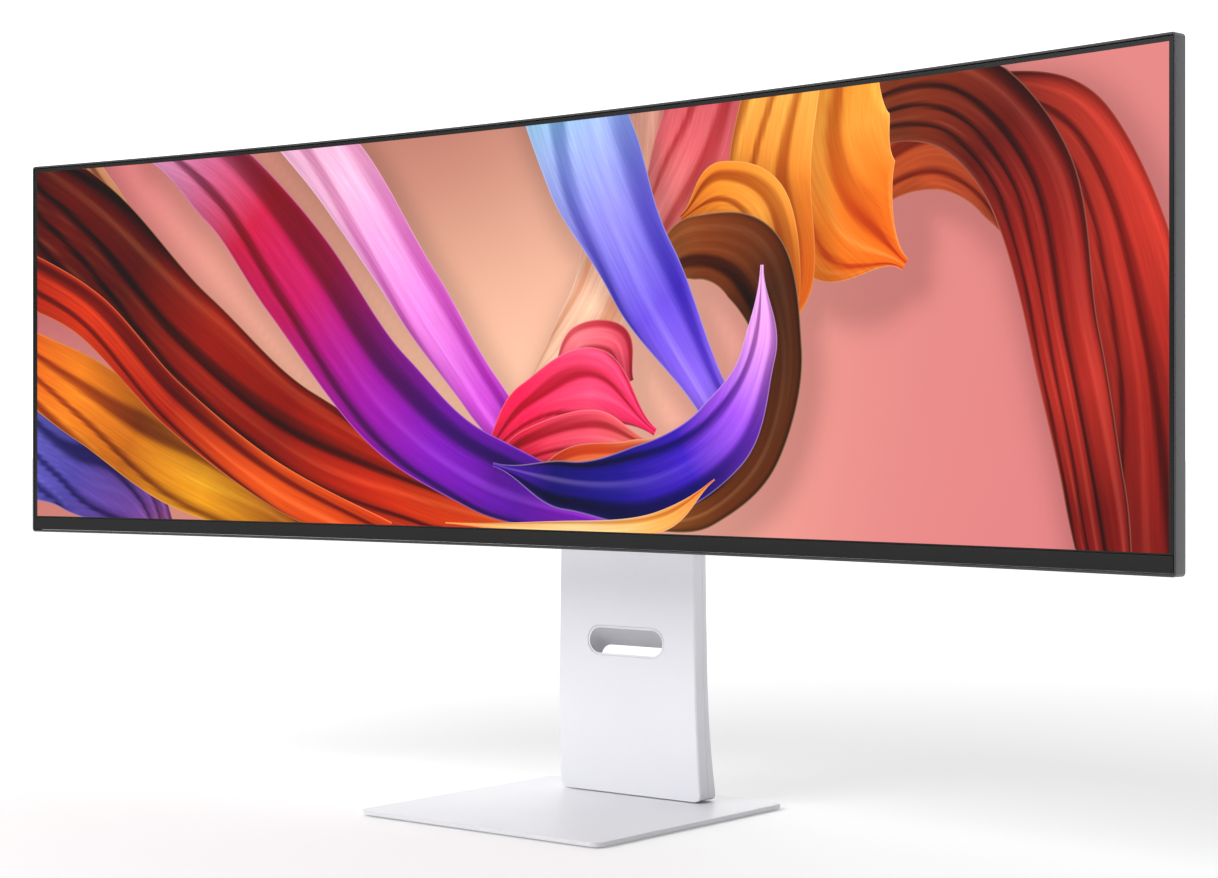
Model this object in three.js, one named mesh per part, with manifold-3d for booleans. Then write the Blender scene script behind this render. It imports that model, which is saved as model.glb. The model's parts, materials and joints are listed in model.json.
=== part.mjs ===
// A curved 49-inch ultrawide monitor on a swivelling, height-adjustable, tilting stand.
//
// Units are millimetres. +Z is up, the picture faces -Y and +X is to the right of a person
// looking at the picture. The origin is on the desk, under the centre of the base plate.
// Every piece keeps a gap of 0.3 mm to the piece that it touches.

import * as THREE from "three";
import { mergeVertices } from "three/addons/utils/BufferGeometryUtils.js";
import Module from "manifold-3d";

const wasm = await Module();
wasm.setup();

// ---------------------------------------------------------------- driving dimensions

const GAP = 0.3; // left between two pieces that touch
const PAST = 2; // how far a cutter runs past the face it cuts

// Screen: a 32:9 picture on a cylinder of 3.8 m radius, hollow towards the viewer.
const RADIUS = 3800;
const PICTURE_WIDE = 1191.9;
const PICTURE_HIGH = 335.2;
const PICTURE_LOW = 242.3; // lower edge of the picture above the desk
const SCREEN_Y = -58.4; // front of the frame on the centre line
const BEZEL_SIDE = 5.8;
const BEZEL_TOP = 5.8;
const BEZEL_LOW = 15.4;
const HALF_ARC = PICTURE_WIDE / 2 + BEZEL_SIDE;
const FRAME_LOW = PICTURE_LOW - BEZEL_LOW;
const FRAME_HIGH = PICTURE_LOW + PICTURE_HIGH + BEZEL_TOP;
const FRAME_DEEP = 10.9; // depth of the frame's side wall
const FRAME_WALL = 1.7; // width of the frame's front lip
const FRAME_CORNER = 3;
const GROOVE = 0.7; // dark gap between the lip and the panel
const STATION = 75; // arc length of one facet of the curved pieces

// Layers of the panel, as depths behind the front of the frame.
const PANEL_DEPTHS = [0.6, 2.0];
const SHEET_DEPTHS = [2.3, 3.0];
const GUIDE_DEPTHS = [3.3, 5.8];
const TRAY_DEPTHS = [2.3, 7.4];
const TRAY_FLOOR = 6.4;
const BEZEL_DEPTHS = [0.1, 2.0];
const STRIP_LOW = FRAME_LOW + FRAME_WALL + GROOVE;
const STRIP_HIGH = PICTURE_LOW - 1.4;

// Rear cover: a domed shell with a hump that holds the boards and the stand recess.
const COVER_WALL = 2.2;
const COVER_FRONT = 7.8;
const COVER_EDGE = 10.6;
const COVER_DOME = 8;
const HUMP_FACE = 12; // Y of the hump's flat rear face
const HUMP_ROOT = -48; // Y inside the dome where the hump starts
const HUMP_HALF = 222;
const HUMP_LOW = 280;
const HUMP_HIGH = 520;
const HUMP_DRAFT = 14;
const HUMP_CORNER = 24;
const HUMP_EDGE = 4;
const VENTS = { count: 24, pitch: 14, wide: 3.6, low: 484, high: 506 };

// Backlight: the tray's rim, the strip of lights and the boards' chassis.
const TRAY_WALL = 1;
const LED = { depths: [3.4, 5.7], tall: 7, inset: 8 };
const CHASSIS = { half: 196, y: [-36, -34.6], rim: -29, z: [292, 508], thick: 1.4 };

// Boards stand on the chassis; each part on them is a box [low corner, high corner] or a can.
const BOARD_Y = [-14.6, -13];
const BOARD_Z = [322, 440];
const ON_BOARD = -13.3; // parts sink a little into the board so that they join it
const MAIN_BOARD_X = [22, 190];
const POWER_BOARD_X = [-190, -30];
const MAIN_PARTS = [
  { x: [70, 105], z: [350, 385], top: -10.5 }, // scaler chip
  { x: [66, 109], z: [346, 389], top: -3, foot: -10.8 }, // its heat sink
  { x: [130, 146], z: [340, 356], top: -11 },
  { x: [130, 150], z: [372, 384], top: -11.4 },
];
const POWER_PARTS = [
  { x: [-120, -84], z: [350, 384], top: 1 }, // transformer
  { x: [-150, -90], z: [400, 424], top: -3 }, // heat sink
];
const CAPACITORS = [
  { x: -150, z: 365, radius: 10, top: 4 },
  { x: -62, z: 410, radius: 8, top: 2 },
];
const SPEAKER = { x: [108, 188], y: [-27, -3], z: [450, 478], corner: 4, horn: 11, hornTop: 1 };

// Stand head: the pivot that the screen tilts on, and the recess for the stand.
const HEAD_Z = 410;
const PIVOT_Y = 38;
const RECESS = 62; // half side of the square recess
const RECESS_FLOOR = 7; // Y of its floor
const SCREW_GRID = 50; // half the 100 mm screw pattern
const SHAFT_RADIUS = 5;
const SHAFT_HALF = 38;
const RECESS_CORNER = 6;
const SCREW_RADIUS = 2;
const SCREW_HEAD = { radius: 3.8, tall: 2.1 };
const RECEIVER_THICK = 2;
const FLANGE_THICK = 2.5;
const EAR = { x: [28.5, 32.5], root: 26, radius: 10 };
const LATCH = { half: 9, tall: 6, y: [-2, 11.8], side: 2 };
const BUTTON = { half: [12.5, 5.5], corner: 3.5, deep: 8, under: 0.3 };

// Controls and sockets in the hump.
const BUTTON_Z = 332; // release button, under the recess
const FLANGE_HALF = 42; // half side of the tilt bracket's flange
const LATCH_TOP = HEAD_Z - FLANGE_HALF - GAP; // the latch catches the flange's lower edge
const JOYSTICK_Y = -15;
const JOYSTICK_PIVOT = 283;
const JOYSTICK = { hole: 4.5, stem: 2, stemLow: 268.8, ring: 5, ringBore: 3, ringHalf: 1 };
const SWITCH = { half: 8, z: [281, 289], bore: 6.2, boreTop: 286 };
const JOYSTICK_PROFILE = [
  [0, 260],
  [3.5, 260.2],
  [5.6, 261],
  [6.3, 262.4],
  [6.3, 268.5],
  [5.5, 269.4],
  [2.8, 269.4],
  [2.8, 265],
  [0, 265],
]; // radius and height of the cap's outline
const PORTS = { x: [30, 200], z: [296, 320], face: 10 };
const HDMI = { wide: 15.4, tall: 6.4, corner: 1.4, wall: 0.6, tongue: { side: 1.6, thick: 1.4, z: 0.6 } };
const DISPLAY = { wide: 17.2, tall: 6.4, corner: 1.2, wall: 0.6, tongue: { side: 2, thick: 1.4, z: 0.5 } };
const USB_C = { wide: 9.4, tall: 3.8, corner: 1.8, wall: 0.5, tongue: { side: 1.2, thick: 0.8, z: 0 } };
const USB_A = { wide: 13.6, tall: 6, corner: 0.6, wall: 0.5, tongue: { side: 0.6, thick: 1.9, z: 1 } };
const SOCKETS = [
  ["hdmi_port_1", { x: 45, ...HDMI }],
  ["hdmi_port_2", { x: 68, ...HDMI }],
  ["displayport_port", { x: 92, ...DISPLAY }],
  ["usb_c_port", { x: 114, ...USB_C }],
  ["usb_a_port_1", { x: 134, ...USB_A }],
  ["usb_a_port_2", { x: 156, ...USB_A }],
];
const SOCKET_BACK = -8;
const SOCKET_DEEP = 8; // depth of a socket's hollow
const UNDER_PLATE = 0.4; // how far a socket's mouth is under the port plate's face
const PORT_PLATE_THICK = 1.6;
const JACK = { x: 180, radius: 4, bore: 1.8, back: -6 };
const INLET = { x: [-178, -146], z: [296, 318], face: 10, back: -10 };
const INLET_WELL = { half: [12.2, 8.2], floor: -5, corner: 3 };
const INLET_PIN = { pitch: 7, half: [1, 2], lift: 2, top: 6 };

// Column: a tapered slab that curves backwards as it comes down to the base.
const COLUMN_LOW = 5.9;
const COLUMN_HIGH = 494;
const COLUMN_FRONT = 71.3; // Y of the flat upper part of the front face
const COLUMN_BACK = 88.6;
const COLUMN_WIDE = 156.3; // at the foot
const COLUMN_TAPER = 0.0355; // width lost for each mm of height
const COLUMN_BEND = 120; // height under which the slab curves
const FRONT_SWEEP = 1266; // radius of the front face's curve
const BACK_SWEEP = 641;
const COLUMN_WALL = 2;
const COLUMN_SEAM = 12; // depth of the seam between the covers
const COLUMN_CORNER = 6;
const COLUMN_CHAMFER = 1.2;

// Cable slot: a stadium that slopes down towards the back of the column.
const SLOT_Z = 140.3;
const SLOT_HALF = 42.3; // half length at the front
const SLOT_TALL = 13; // half height at the front
const SLOT_LINER = 2; // wall of the liner
const SLOT_SLOPE = 0.98; // fall for each mm of depth

// Height travel: the carriage hangs on two rods inside the column.
const TRAVEL = 110;
const ROD_X = 50;
const ROD_Y = 78.6;
const ROD_RADIUS = 2.5;
const ROD_LOW = 160;
const ROD_HIGH = 470;
const CARRIAGE_HALF = 58;
const CARRIAGE_TALL = 42;
const ARM_HALF = 17.5;
const ARM_TALL = 19;
const ARM_NOSE = 12;
const ARM_SECTIONS = [
  [38, 11.5],
  [60, 16],
  [73.6, 19],
]; // Y and half height of the arm's sections, from the pivot to the carriage
const CARRIAGE_Y = [73.9, 83.3];
const CARRIAGE_WINDOW = { x: 32, half: 9, inset: 12 };
const BUSH_RADIUS = 3.6;
const SPINE_FRONT = 83.9;
const SPINE_BACK = 86.3;
const SPINE = { half: 62, low: 56.3, high: 488, window: [106, 146] };
const SHELF = { half: 6, front: 74.2, thick: 6 };
const BRACKET = { half: 61, tall: 9 };
const SPRING = { outer: 4.2, clear: 0.5 };
const SHROUD = { half: [43, 37], corner: 10, front: 31, flare: 56, spread: 3, wall: 2, back: 67.5 };
const TILT_COIL = { turns: 3.5, radius: 7, wire: 0.8, from: 1.6, long: 6.4, steps: 42 };

// Base: a thin steel plate on rubber pads, with the kingpin that the column turns on.
const PLATE_WIDE = 260.4;
const PLATE_DEEP = 254.4;
const PLATE_LOW = 1.5;
const PLATE_HIGH = 5;
const PLATE_CORNER = 10;
const PAD_RADIUS = 9;
const KINGPIN_Y = 86;
const KINGPIN_RADIUS = 4.9;
const KINGPIN_TOP = 30;
const KINGPIN_FLANGE = { radius: 7.2, top: 7.3, clear: 7.6 };
const PAD_INSET = 24;
const FOOT = { high: 56, corner: 4, floor: 20, window: [10, 33], windowY: [60, 110] };
const NUT = { radius: 6.9, z: [20.3, 28] };

// ---------------------------------------------------------------- finishes

const finish = (color, roughness, metalness = 0) =>
  new THREE.MeshStandardMaterial({ color, roughness, metalness });

const FINISHES = {
  frame: finish(0x4a4a4c, 0.45),
  bezel: finish(0x2c2c2d, 0.6),
  glass: finish(0x14100f, 0.25),
  film: finish(0xf3f4f2, 0.5),
  acrylic: finish(0xe6eef2, 0.1),
  steel: finish(0xa9adb0, 0.4, 0.9),
  darkSteel: finish(0x6f7275, 0.45, 0.9),
  zinc: finish(0x9a9c9e, 0.5, 0.8),
  whiteShell: finish(0xeeeef1, 0.5),
  whitePaint: finish(0xececef, 0.45),
  board: finish(0x1f5b3a, 0.55),
  black: finish(0x1c1c1e, 0.6),
  rubber: finish(0x2b2b2d, 0.9),
  acetal: finish(0xf2efe6, 0.5),
  spring: finish(0x85888b, 0.35, 0.9),
};

// ---------------------------------------------------------------- solids

/** A manifold-3d solid of a closed three.js geometry. */
function solidOf(geometry) {
  const bare = geometry.index ? geometry.toNonIndexed() : geometry.clone();
  bare.deleteAttribute("normal");
  bare.deleteAttribute("uv");
  const merged = mergeVertices(bare, 1e-4);
  return new wasm.Manifold(
    new wasm.Mesh({
      numProp: 3,
      vertProperties: new Float32Array(merged.attributes.position.array),
      triVerts: new Uint32Array(merged.index.array),
    }),
  );
}

/** The three.js geometry of a manifold-3d solid. */
function geometryOf(solid) {
  const mesh = solid.getMesh();
  const geometry = new THREE.BufferGeometry();
  geometry.setAttribute("position", new THREE.BufferAttribute(new Float32Array(mesh.vertProperties), 3));
  geometry.setIndex(new THREE.BufferAttribute(new Uint32Array(mesh.triVerts), 1));
  geometry.computeVertexNormals();
  return geometry;
}

/** Closed geometries joined into one. */
function join(...geometries) {
  return geometryOf(geometries.map(solidOf).reduce((all, next) => all.add(next)));
}

/** A closed geometry with others cut out of it. */
function cut(body, ...tools) {
  return geometryOf(tools.map(solidOf).reduce((left, tool) => left.subtract(tool), solidOf(body)));
}

/** An upright box from its lowest and highest corners. */
function box([x0, y0, z0], [x1, y1, z1]) {
  const geometry = new THREE.BoxGeometry(x1 - x0, y1 - y0, z1 - z0);
  return geometry.translate((x0 + x1) / 2, (y0 + y1) / 2, (z0 + z1) / 2);
}

/** A box that is centred on X and runs from one corner to the mirrored other. */
function centredBox(half, [y0, z0], [y1, z1]) {
  return box([-half, y0, z0], [half, y1, z1]);
}

/** A cylinder between two points on an axis; along is "x", "y" or "z". */
function rod(along, radius, from, to, [u, v], sides = 20) {
  const geometry = new THREE.CylinderGeometry(radius, radius, to - from, sides);
  const middle = (from + to) / 2;
  if (along === "x") return geometry.rotateZ(-Math.PI / 2).translate(middle, u, v);
  if (along === "y") return geometry.translate(u, middle, v);
  return geometry.rotateX(Math.PI / 2).translate(u, v, middle);
}

/** A closed solid through rings that hold the same number of points, with flat convex ends. */
function loft(rings) {
  const count = rings[0].length;
  const points = rings.flat();
  const faces = [];
  for (let ring = 0; ring + 1 < rings.length; ring += 1) {
    for (let side = 0; side < count; side += 1) {
      const a = ring * count + side;
      const b = ring * count + ((side + 1) % count);
      faces.push(a, b, b + count, a, b + count, a + count);
    }
  }
  const last = (rings.length - 1) * count;
  for (let side = 1; side + 1 < count; side += 1) {
    faces.push(0, side + 1, side);
    faces.push(last, last + side, last + side + 1);
  }
  const geometry = new THREE.BufferGeometry();
  geometry.setAttribute("position", new THREE.Float32BufferAttribute(points.flatMap((p) => p), 3));
  geometry.setIndex(faces);
  return outward(geometry);
}

/** The same geometry with its faces turned so that they point out of the solid. */
function outward(geometry) {
  const { array } = geometry.attributes.position;
  const index = geometry.index.array;
  let volume = 0;
  for (let face = 0; face < index.length; face += 3) {
    const [a, b, c] = [0, 1, 2].map((k) => new THREE.Vector3().fromArray(array, index[face + k] * 3));
    volume += a.dot(b.cross(c));
  }
  if (volume < 0) {
    geometry.setIndex(Array.from(index).reverse());
  }
  return geometry;
}

/** Points of a rectangle with round corners, as [u, v] pairs. */
function roundRectangle(u0, u1, v0, v1, radius, steps = 4) {
  const centres = [
    [u1 - radius, v1 - radius],
    [u0 + radius, v1 - radius],
    [u0 + radius, v0 + radius],
    [u1 - radius, v0 + radius],
  ];
  const arc = (quarter, step) => ((quarter + step / steps) * Math.PI) / 2;
  return centres.flatMap(([u, v], quarter) =>
    Array.from({ length: steps + 1 }, (_, step) => [
      u + radius * Math.cos(arc(quarter, step)),
      v + radius * Math.sin(arc(quarter, step)),
    ]),
  );
}

/** A slab of round-cornered outline in X and Z between two values of Y. */
function roundSlab([x0, x1], [y0, y1], [z0, z1], radius, steps = 4) {
  const outline = roundRectangle(x0, x1, z0, z1, radius, steps);
  return loft([y0, y1].map((y) => outline.map(([x, z]) => [x, y, z])));
}

// ---------------------------------------------------------------- curved pieces

/** The point at an arc length s from the middle, a depth behind the front, and a height. */
function onScreen(s, depth, z) {
  const angle = s / RADIUS;
  const reach = RADIUS + depth;
  return [reach * Math.sin(angle), SCREEN_Y - RADIUS + reach * Math.cos(angle), z];
}

/** Arc lengths at which a curved piece has its sections, closer together in its round corners. */
function stations(half, corner) {
  const whole = Math.floor((half - corner - 1) / STATION);
  const middle = Array.from({ length: 2 * whole + 1 }, (_, k) => (k - whole) * STATION);
  const steps = corner > 0 ? [0, 0.3, 0.6, 0.85, 1] : [1];
  const end = steps.map((part) => half - corner + corner * Math.sin((part * Math.PI) / 2));
  return [...end.map((s) => -s).reverse(), ...middle, ...end];
}

/** How far a round corner takes the edge in at the arc length s. */
function cornerInset(s, half, corner) {
  const into = Math.max(0, Math.abs(s) - (half - corner));
  return corner - Math.sqrt(Math.max(0, corner * corner - into * into));
}

/** A curved slab with round corners, between two depths and two heights. */
function curvedSlab(half, [d0, d1], [z0, z1], corner = 0) {
  const rings = stations(half, corner).map((s) => {
    const inset = cornerInset(s, half, corner);
    return [
      onScreen(s, d0, z0 + inset),
      onScreen(s, d1, z0 + inset),
      onScreen(s, d1, z1 - inset),
      onScreen(s, d0, z1 - inset),
    ];
  });
  return loft(rings);
}

/** Depth of the rear cover's domed outside: a parabola both ways, nothing at the edges. */
function domeDepth(s, z) {
  const across = 1 - (s / HALF_ARC) ** 2;
  const middle = (FRAME_LOW + FRAME_HIGH) / 2;
  const up = 1 - ((z - middle) / ((FRAME_HIGH - FRAME_LOW) / 2)) ** 2;
  return COVER_EDGE + COVER_DOME * across * up;
}

/** A solid with the dome on its back, taken in by an inset on every side but the front. */
function domedSolid(front, inset) {
  const half = HALF_ARC - FRAME_WALL - GAP - inset;
  const low = FRAME_LOW + FRAME_WALL + GAP + inset;
  const high = FRAME_HIGH - FRAME_WALL - GAP - inset;
  const heights = Array.from({ length: 7 }, (_, k) => low + ((high - low) * k) / 6);
  const rings = stations(half, 0).map((s) => [
    onScreen(s, front, low),
    ...heights.map((z) => onScreen(s, domeDepth(s, z) - inset, z)),
    onScreen(s, front, high),
  ]);
  return loft(rings);
}

/** The hump's drafted block, taken in by an inset, from its root to its flat face. */
function humpBlock(inset) {
  const ring = (y, spread) => {
    const grown = spread - inset;
    const outline = roundRectangle(
      -HUMP_HALF - grown,
      HUMP_HALF + grown,
      HUMP_LOW - grown,
      HUMP_HIGH + grown,
      HUMP_CORNER + grown,
    );
    return outline.map(([x, z]) => [x, y, z]);
  };
  return loft([
    ring(HUMP_ROOT, HUMP_DRAFT),
    ring(HUMP_FACE - HUMP_EDGE - inset, 0),
    ring(HUMP_FACE - inset, -HUMP_EDGE),
  ]);
}

// ---------------------------------------------------------------- column sections

/** Half the column's width at a height. */
const columnHalf = (z) => (COLUMN_WIDE - COLUMN_TAPER * z) / 2;

/** How far an arc that starts at the bend has moved back at a height. */
function sweep(z, radius) {
  const below = Math.max(0, COLUMN_BEND - z);
  return radius - Math.sqrt(radius * radius - below * below);
}

const columnFront = (z) => COLUMN_FRONT + sweep(z, FRONT_SWEEP);
const columnBack = (z) => COLUMN_BACK + sweep(z, BACK_SWEEP);

/** A slice of the column between two faces given as functions of height. */
function columnSlice({ low, high, inset, front, back, corner = 0, chamfer = 0 }) {
  const rounding = corner > 0 ? [0, 0.15, 0.4, 0.7, 1].map((part) => low + corner * part) : [low];
  const bend = [25, 45, 65, 85, 105, COLUMN_BEND].filter((z) => z > low + corner + 1 && z < high);
  const rings = [...rounding, ...bend, high].map((z) => {
    const into = Math.max(0, corner - (z - low));
    const half = columnHalf(z) - inset - (corner - Math.sqrt(corner * corner - into * into));
    return [
      [-half, front(z) + chamfer, z],
      [-half + chamfer, front(z), z],
      [half - chamfer, front(z), z],
      [half, front(z) + chamfer, z],
      [half, back(z), z],
      [-half, back(z), z],
    ];
  });
  return chamfer > 0 ? loft(rings) : loft(rings.map((ring) => [ring[0], ring[3], ring[4], ring[5]]));
}

/** A stadium that slopes with the cable slot, taken in by an inset, between two values of Y. */
function slotPlug(inset, [y0, y1]) {
  const outline = roundRectangle(
    -SLOT_HALF + inset,
    SLOT_HALF - inset,
    SLOT_Z - SLOT_TALL + inset,
    SLOT_Z + SLOT_TALL - inset,
    SLOT_TALL - inset,
    5,
  );
  return loft([y0, y1].map((y) => outline.map(([x, z]) => [x, y, z - SLOT_SLOPE * (y - COLUMN_FRONT)])));
}

// ---------------------------------------------------------------- assembly

const monitor = new THREE.Group();
const base = new THREE.Group();
const column = new THREE.Group();
const carriage = new THREE.Group();
const head = new THREE.Group();
monitor.add(base, column, carriage, head);

/** Adds a named piece to a group. */
function add(group, name, geometry, material) {
  const mesh = new THREE.Mesh(geometry, material);
  mesh.name = name;
  group.add(mesh);
}

const SIDES = [
  ["left", -1],
  ["right", 1],
];

buildBase();
buildColumn();
buildCarriage();
buildHead();
buildStandMount();
buildElectronics();
buildControls();

function buildBase() {
  const [wide, deep] = [PLATE_WIDE / 2, PLATE_DEEP / 2];
  const outline = roundRectangle(-wide, wide, -deep, deep, PLATE_CORNER, 8);
  const plate = loft([PLATE_LOW, PLATE_HIGH].map((z) => outline.map(([x, y]) => [x, y, z])));
  const hole = rod("z", KINGPIN_RADIUS + GAP, 0, PLATE_HIGH + PAST, [0, KINGPIN_Y]);
  add(base, "base_plate", cut(plate, hole), FINISHES.whitePaint);

  for (const [end, toRear] of [["front", -1], ["rear", 1]]) {
    for (const [side, sign] of SIDES) {
      const at = [sign * (wide - PAD_INSET), toRear * (deep - PAD_INSET)];
      add(base, `foot_pad_${end}_${side}`, rod("z", PAD_RADIUS, 0, PLATE_LOW - GAP, at), FINISHES.rubber);
    }
  }

  const post = rod("z", KINGPIN_RADIUS, PLATE_LOW, KINGPIN_TOP, [0, KINGPIN_Y]);
  const { radius, top } = KINGPIN_FLANGE;
  const flange = rod("z", radius, PLATE_HIGH + GAP, top, [0, KINGPIN_Y]);
  add(base, "kingpin", join(post, flange), FINISHES.darkSteel);
}

function buildColumn() {
  const seam = (z) => columnFront(z) + COLUMN_SEAM;
  const whole = { low: COLUMN_LOW, high: COLUMN_HIGH, inset: 0 };
  const hollow = { low: COLUMN_LOW - PAST, high: COLUMN_HIGH + PAST, inset: COLUMN_WALL };
  const slotHole = slotPlug(-GAP, [COLUMN_FRONT - 8, COLUMN_BACK + 8]);

  const frontBody = columnSlice({
    ...whole,
    front: columnFront,
    back: seam,
    corner: COLUMN_CORNER,
    chamfer: COLUMN_CHAMFER,
  });
  const frontHollow = columnSlice({
    ...hollow,
    front: (z) => columnFront(z) + COLUMN_WALL,
    back: (z) => seam(z) + PAST,
  });
  const carriageSlot = centredBox(
    ARM_HALF + 3,
    [COLUMN_FRONT - PAST, HEAD_Z - TRAVEL - ARM_TALL - 5],
    [COLUMN_FRONT + COLUMN_WALL + 1, HEAD_Z + ARM_TALL + 5],
  );
  add(column, "column_front_cover", cut(frontBody, frontHollow, slotHole, carriageSlot), FINISHES.whiteShell);

  const rearBody = columnSlice({
    ...whole,
    front: (z) => seam(z) + GAP,
    back: columnBack,
    corner: COLUMN_CORNER,
  });
  const rearHollow = columnSlice({
    ...hollow,
    front: (z) => seam(z) - PAST,
    back: (z) => columnBack(z) - COLUMN_WALL,
  });
  add(column, "column_rear_cover", cut(rearBody, rearHollow, slotHole), FINISHES.whiteShell);

  const lining = cut(
    slotPlug(0, [COLUMN_FRONT + 0.2, COLUMN_BACK - 0.2]),
    slotPlug(SLOT_LINER, [COLUMN_FRONT - PAST, COLUMN_BACK + PAST]),
  );
  add(column, "cable_slot_liner", lining, FINISHES.whiteShell);

  const capInset = COLUMN_WALL + GAP + 0.1;
  const cap = centredBox(
    columnHalf(COLUMN_HIGH) - capInset,
    [COLUMN_FRONT + capInset, COLUMN_HIGH - 3],
    [COLUMN_BACK - capInset, COLUMN_HIGH - 0.2],
  );
  add(column, "column_top_cap", cap, FINISHES.whiteShell);

  buildFoot();
  buildLift();
}

function buildFoot() {
  const inset = COLUMN_WALL + GAP + 0.1;
  const body = columnSlice({
    low: COLUMN_LOW + GAP,
    high: FOOT.high,
    inset,
    front: (z) => columnFront(z) + inset,
    back: (z) => columnBack(z) - inset,
    corner: FOOT.corner,
  });
  const bore = rod("z", KINGPIN_RADIUS + GAP, 0, FOOT.floor + PAST, [0, KINGPIN_Y]);
  const counterbore = rod("z", KINGPIN_FLANGE.clear, 0, KINGPIN_FLANGE.top + 0.7, [0, KINGPIN_Y]);
  const [windowHalf, windowTop] = FOOT.window;
  const window = centredBox(windowHalf, [FOOT.windowY[0], FOOT.floor], [FOOT.windowY[1], windowTop]);
  add(column, "foot_casting", cut(body, bore, counterbore, window), FINISHES.zinc);

  const nut = cut(
    rod("z", NUT.radius, ...NUT.z, [0, KINGPIN_Y], 6),
    rod("z", KINGPIN_RADIUS + GAP, FOOT.floor, KINGPIN_TOP, [0, KINGPIN_Y]),
  );
  add(column, "swivel_nut", nut, FINISHES.steel);
}

function buildLift() {
  const plate = centredBox(SPINE.half, [SPINE_FRONT, SPINE.low], [SPINE_BACK, SPINE.high]);
  const [windowLow, windowHigh] = SPINE.window;
  const window = centredBox(SLOT_HALF + 2, [SPINE_FRONT - PAST, windowLow], [SPINE_BACK + PAST, windowHigh]);
  const shelves = SIDES.map(([, sign]) =>
    box(
      [sign * ROD_X - SHELF.half, SHELF.front, ROD_LOW - SHELF.thick],
      [sign * ROD_X + SHELF.half, SPINE_FRONT + 1, ROD_LOW - GAP],
    ),
  );
  add(column, "column_spine", cut(join(plate, ...shelves), window), FINISHES.darkSteel);

  const bracket = centredBox(
    BRACKET.half,
    [SHELF.front, ROD_HIGH + GAP],
    [SPINE_FRONT - GAP, ROD_HIGH + BRACKET.tall],
  );
  add(column, "rod_bracket", bracket, FINISHES.darkSteel);

  for (const [side, sign] of SIDES) {
    const at = [sign * ROD_X, ROD_Y];
    add(column, `guide_rod_${side}`, rod("z", ROD_RADIUS, ROD_LOW, ROD_HIGH, at, 16), FINISHES.steel);
    const top = HEAD_Z - CARRIAGE_TALL - GAP;
    const sleeve = cut(
      rod("z", SPRING.outer, ROD_LOW + GAP, top, at, 16),
      rod("z", ROD_RADIUS + SPRING.clear, ROD_LOW - PAST, top + PAST, at, 16),
    );
    add(column, `lift_spring_${side}`, sleeve, FINISHES.spring);
  }
}

function buildCarriage() {
  const low = HEAD_Z - CARRIAGE_TALL;
  const high = HEAD_Z + CARRIAGE_TALL;
  const [front, rear] = CARRIAGE_Y;
  const block = centredBox(CARRIAGE_HALF, [front, low], [rear, high]);
  const bores = SIDES.map(([, sign]) =>
    rod("z", BUSH_RADIUS + GAP, low - PAST, high + PAST, [sign * ROD_X, ROD_Y], 16),
  );
  const windows = SIDES.map(([, sign]) => {
    const { x, half, inset } = CARRIAGE_WINDOW;
    return box(
      [sign * x - half, front - PAST, low + inset],
      [sign * x + half, rear + PAST, high - inset],
    );
  });
  add(carriage, "carriage", cut(block, ...bores, ...windows), FINISHES.zinc);

  for (const [side, sign] of SIDES) {
    const at = [sign * ROD_X, ROD_Y];
    const bush = cut(
      rod("z", BUSH_RADIUS, low + 1, high - 1, at, 16),
      rod("z", ROD_RADIUS + GAP, low - PAST, high + PAST, at, 16),
    );
    add(carriage, `slide_bush_${side}`, bush, FINISHES.acetal);
  }

  const shaftHole = rod("x", SHAFT_RADIUS + GAP, -ARM_HALF - PAST, ARM_HALF + PAST, [PIVOT_Y, HEAD_Z]);
  const nose = rod("x", ARM_NOSE, -ARM_HALF, ARM_HALF, [PIVOT_Y, HEAD_Z], 24);
  const beam = loft(
    ARM_SECTIONS.map(([y, tall]) => [
      [-ARM_HALF, y, HEAD_Z - tall],
      [ARM_HALF, y, HEAD_Z - tall],
      [ARM_HALF, y, HEAD_Z + tall],
      [-ARM_HALF, y, HEAD_Z + tall],
    ]),
  );
  add(carriage, "tilt_arm", cut(join(nose, beam), shaftHole), FINISHES.zinc);
  const shaft = rod("x", SHAFT_RADIUS, -SHAFT_HALF, SHAFT_HALF, [PIVOT_Y, HEAD_Z]);
  add(carriage, "tilt_shaft", shaft, FINISHES.steel);

  const [wide, tall] = SHROUD.half;
  const section = (y, spread, corner) =>
    roundRectangle(-wide - spread, wide + spread, HEAD_Z - tall - spread, HEAD_Z + tall + spread, corner)
      .map(([x, z]) => [x, y, z]);
  const hollowWide = wide - SHROUD.wall;
  const hollowTall = tall - SHROUD.wall;
  const armClear = 2 * GAP;
  const shroud = cut(
    loft([
      section(SHROUD.front, 0, SHROUD.corner),
      section(SHROUD.flare, 0, SHROUD.corner),
      section(COLUMN_FRONT - 0.5, SHROUD.spread, SHROUD.corner + 2),
    ]),
    roundSlab(
      [-hollowWide, hollowWide],
      [SHROUD.front - PAST, SHROUD.back],
      [HEAD_Z - hollowTall, HEAD_Z + hollowTall],
      SHROUD.corner - SHROUD.wall,
    ),
    centredBox(
      ARM_HALF + armClear,
      [SHROUD.flare, HEAD_Z - ARM_TALL - armClear],
      [COLUMN_FRONT + PAST, HEAD_Z + ARM_TALL + armClear],
    ),
  );
  add(carriage, "arm_shroud", shroud, FINISHES.whiteShell);

  for (const [side, sign] of SIDES) {
    add(carriage, `tilt_spring_${side}`, torsionSpring(sign), FINISHES.spring);
  }
}

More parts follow.
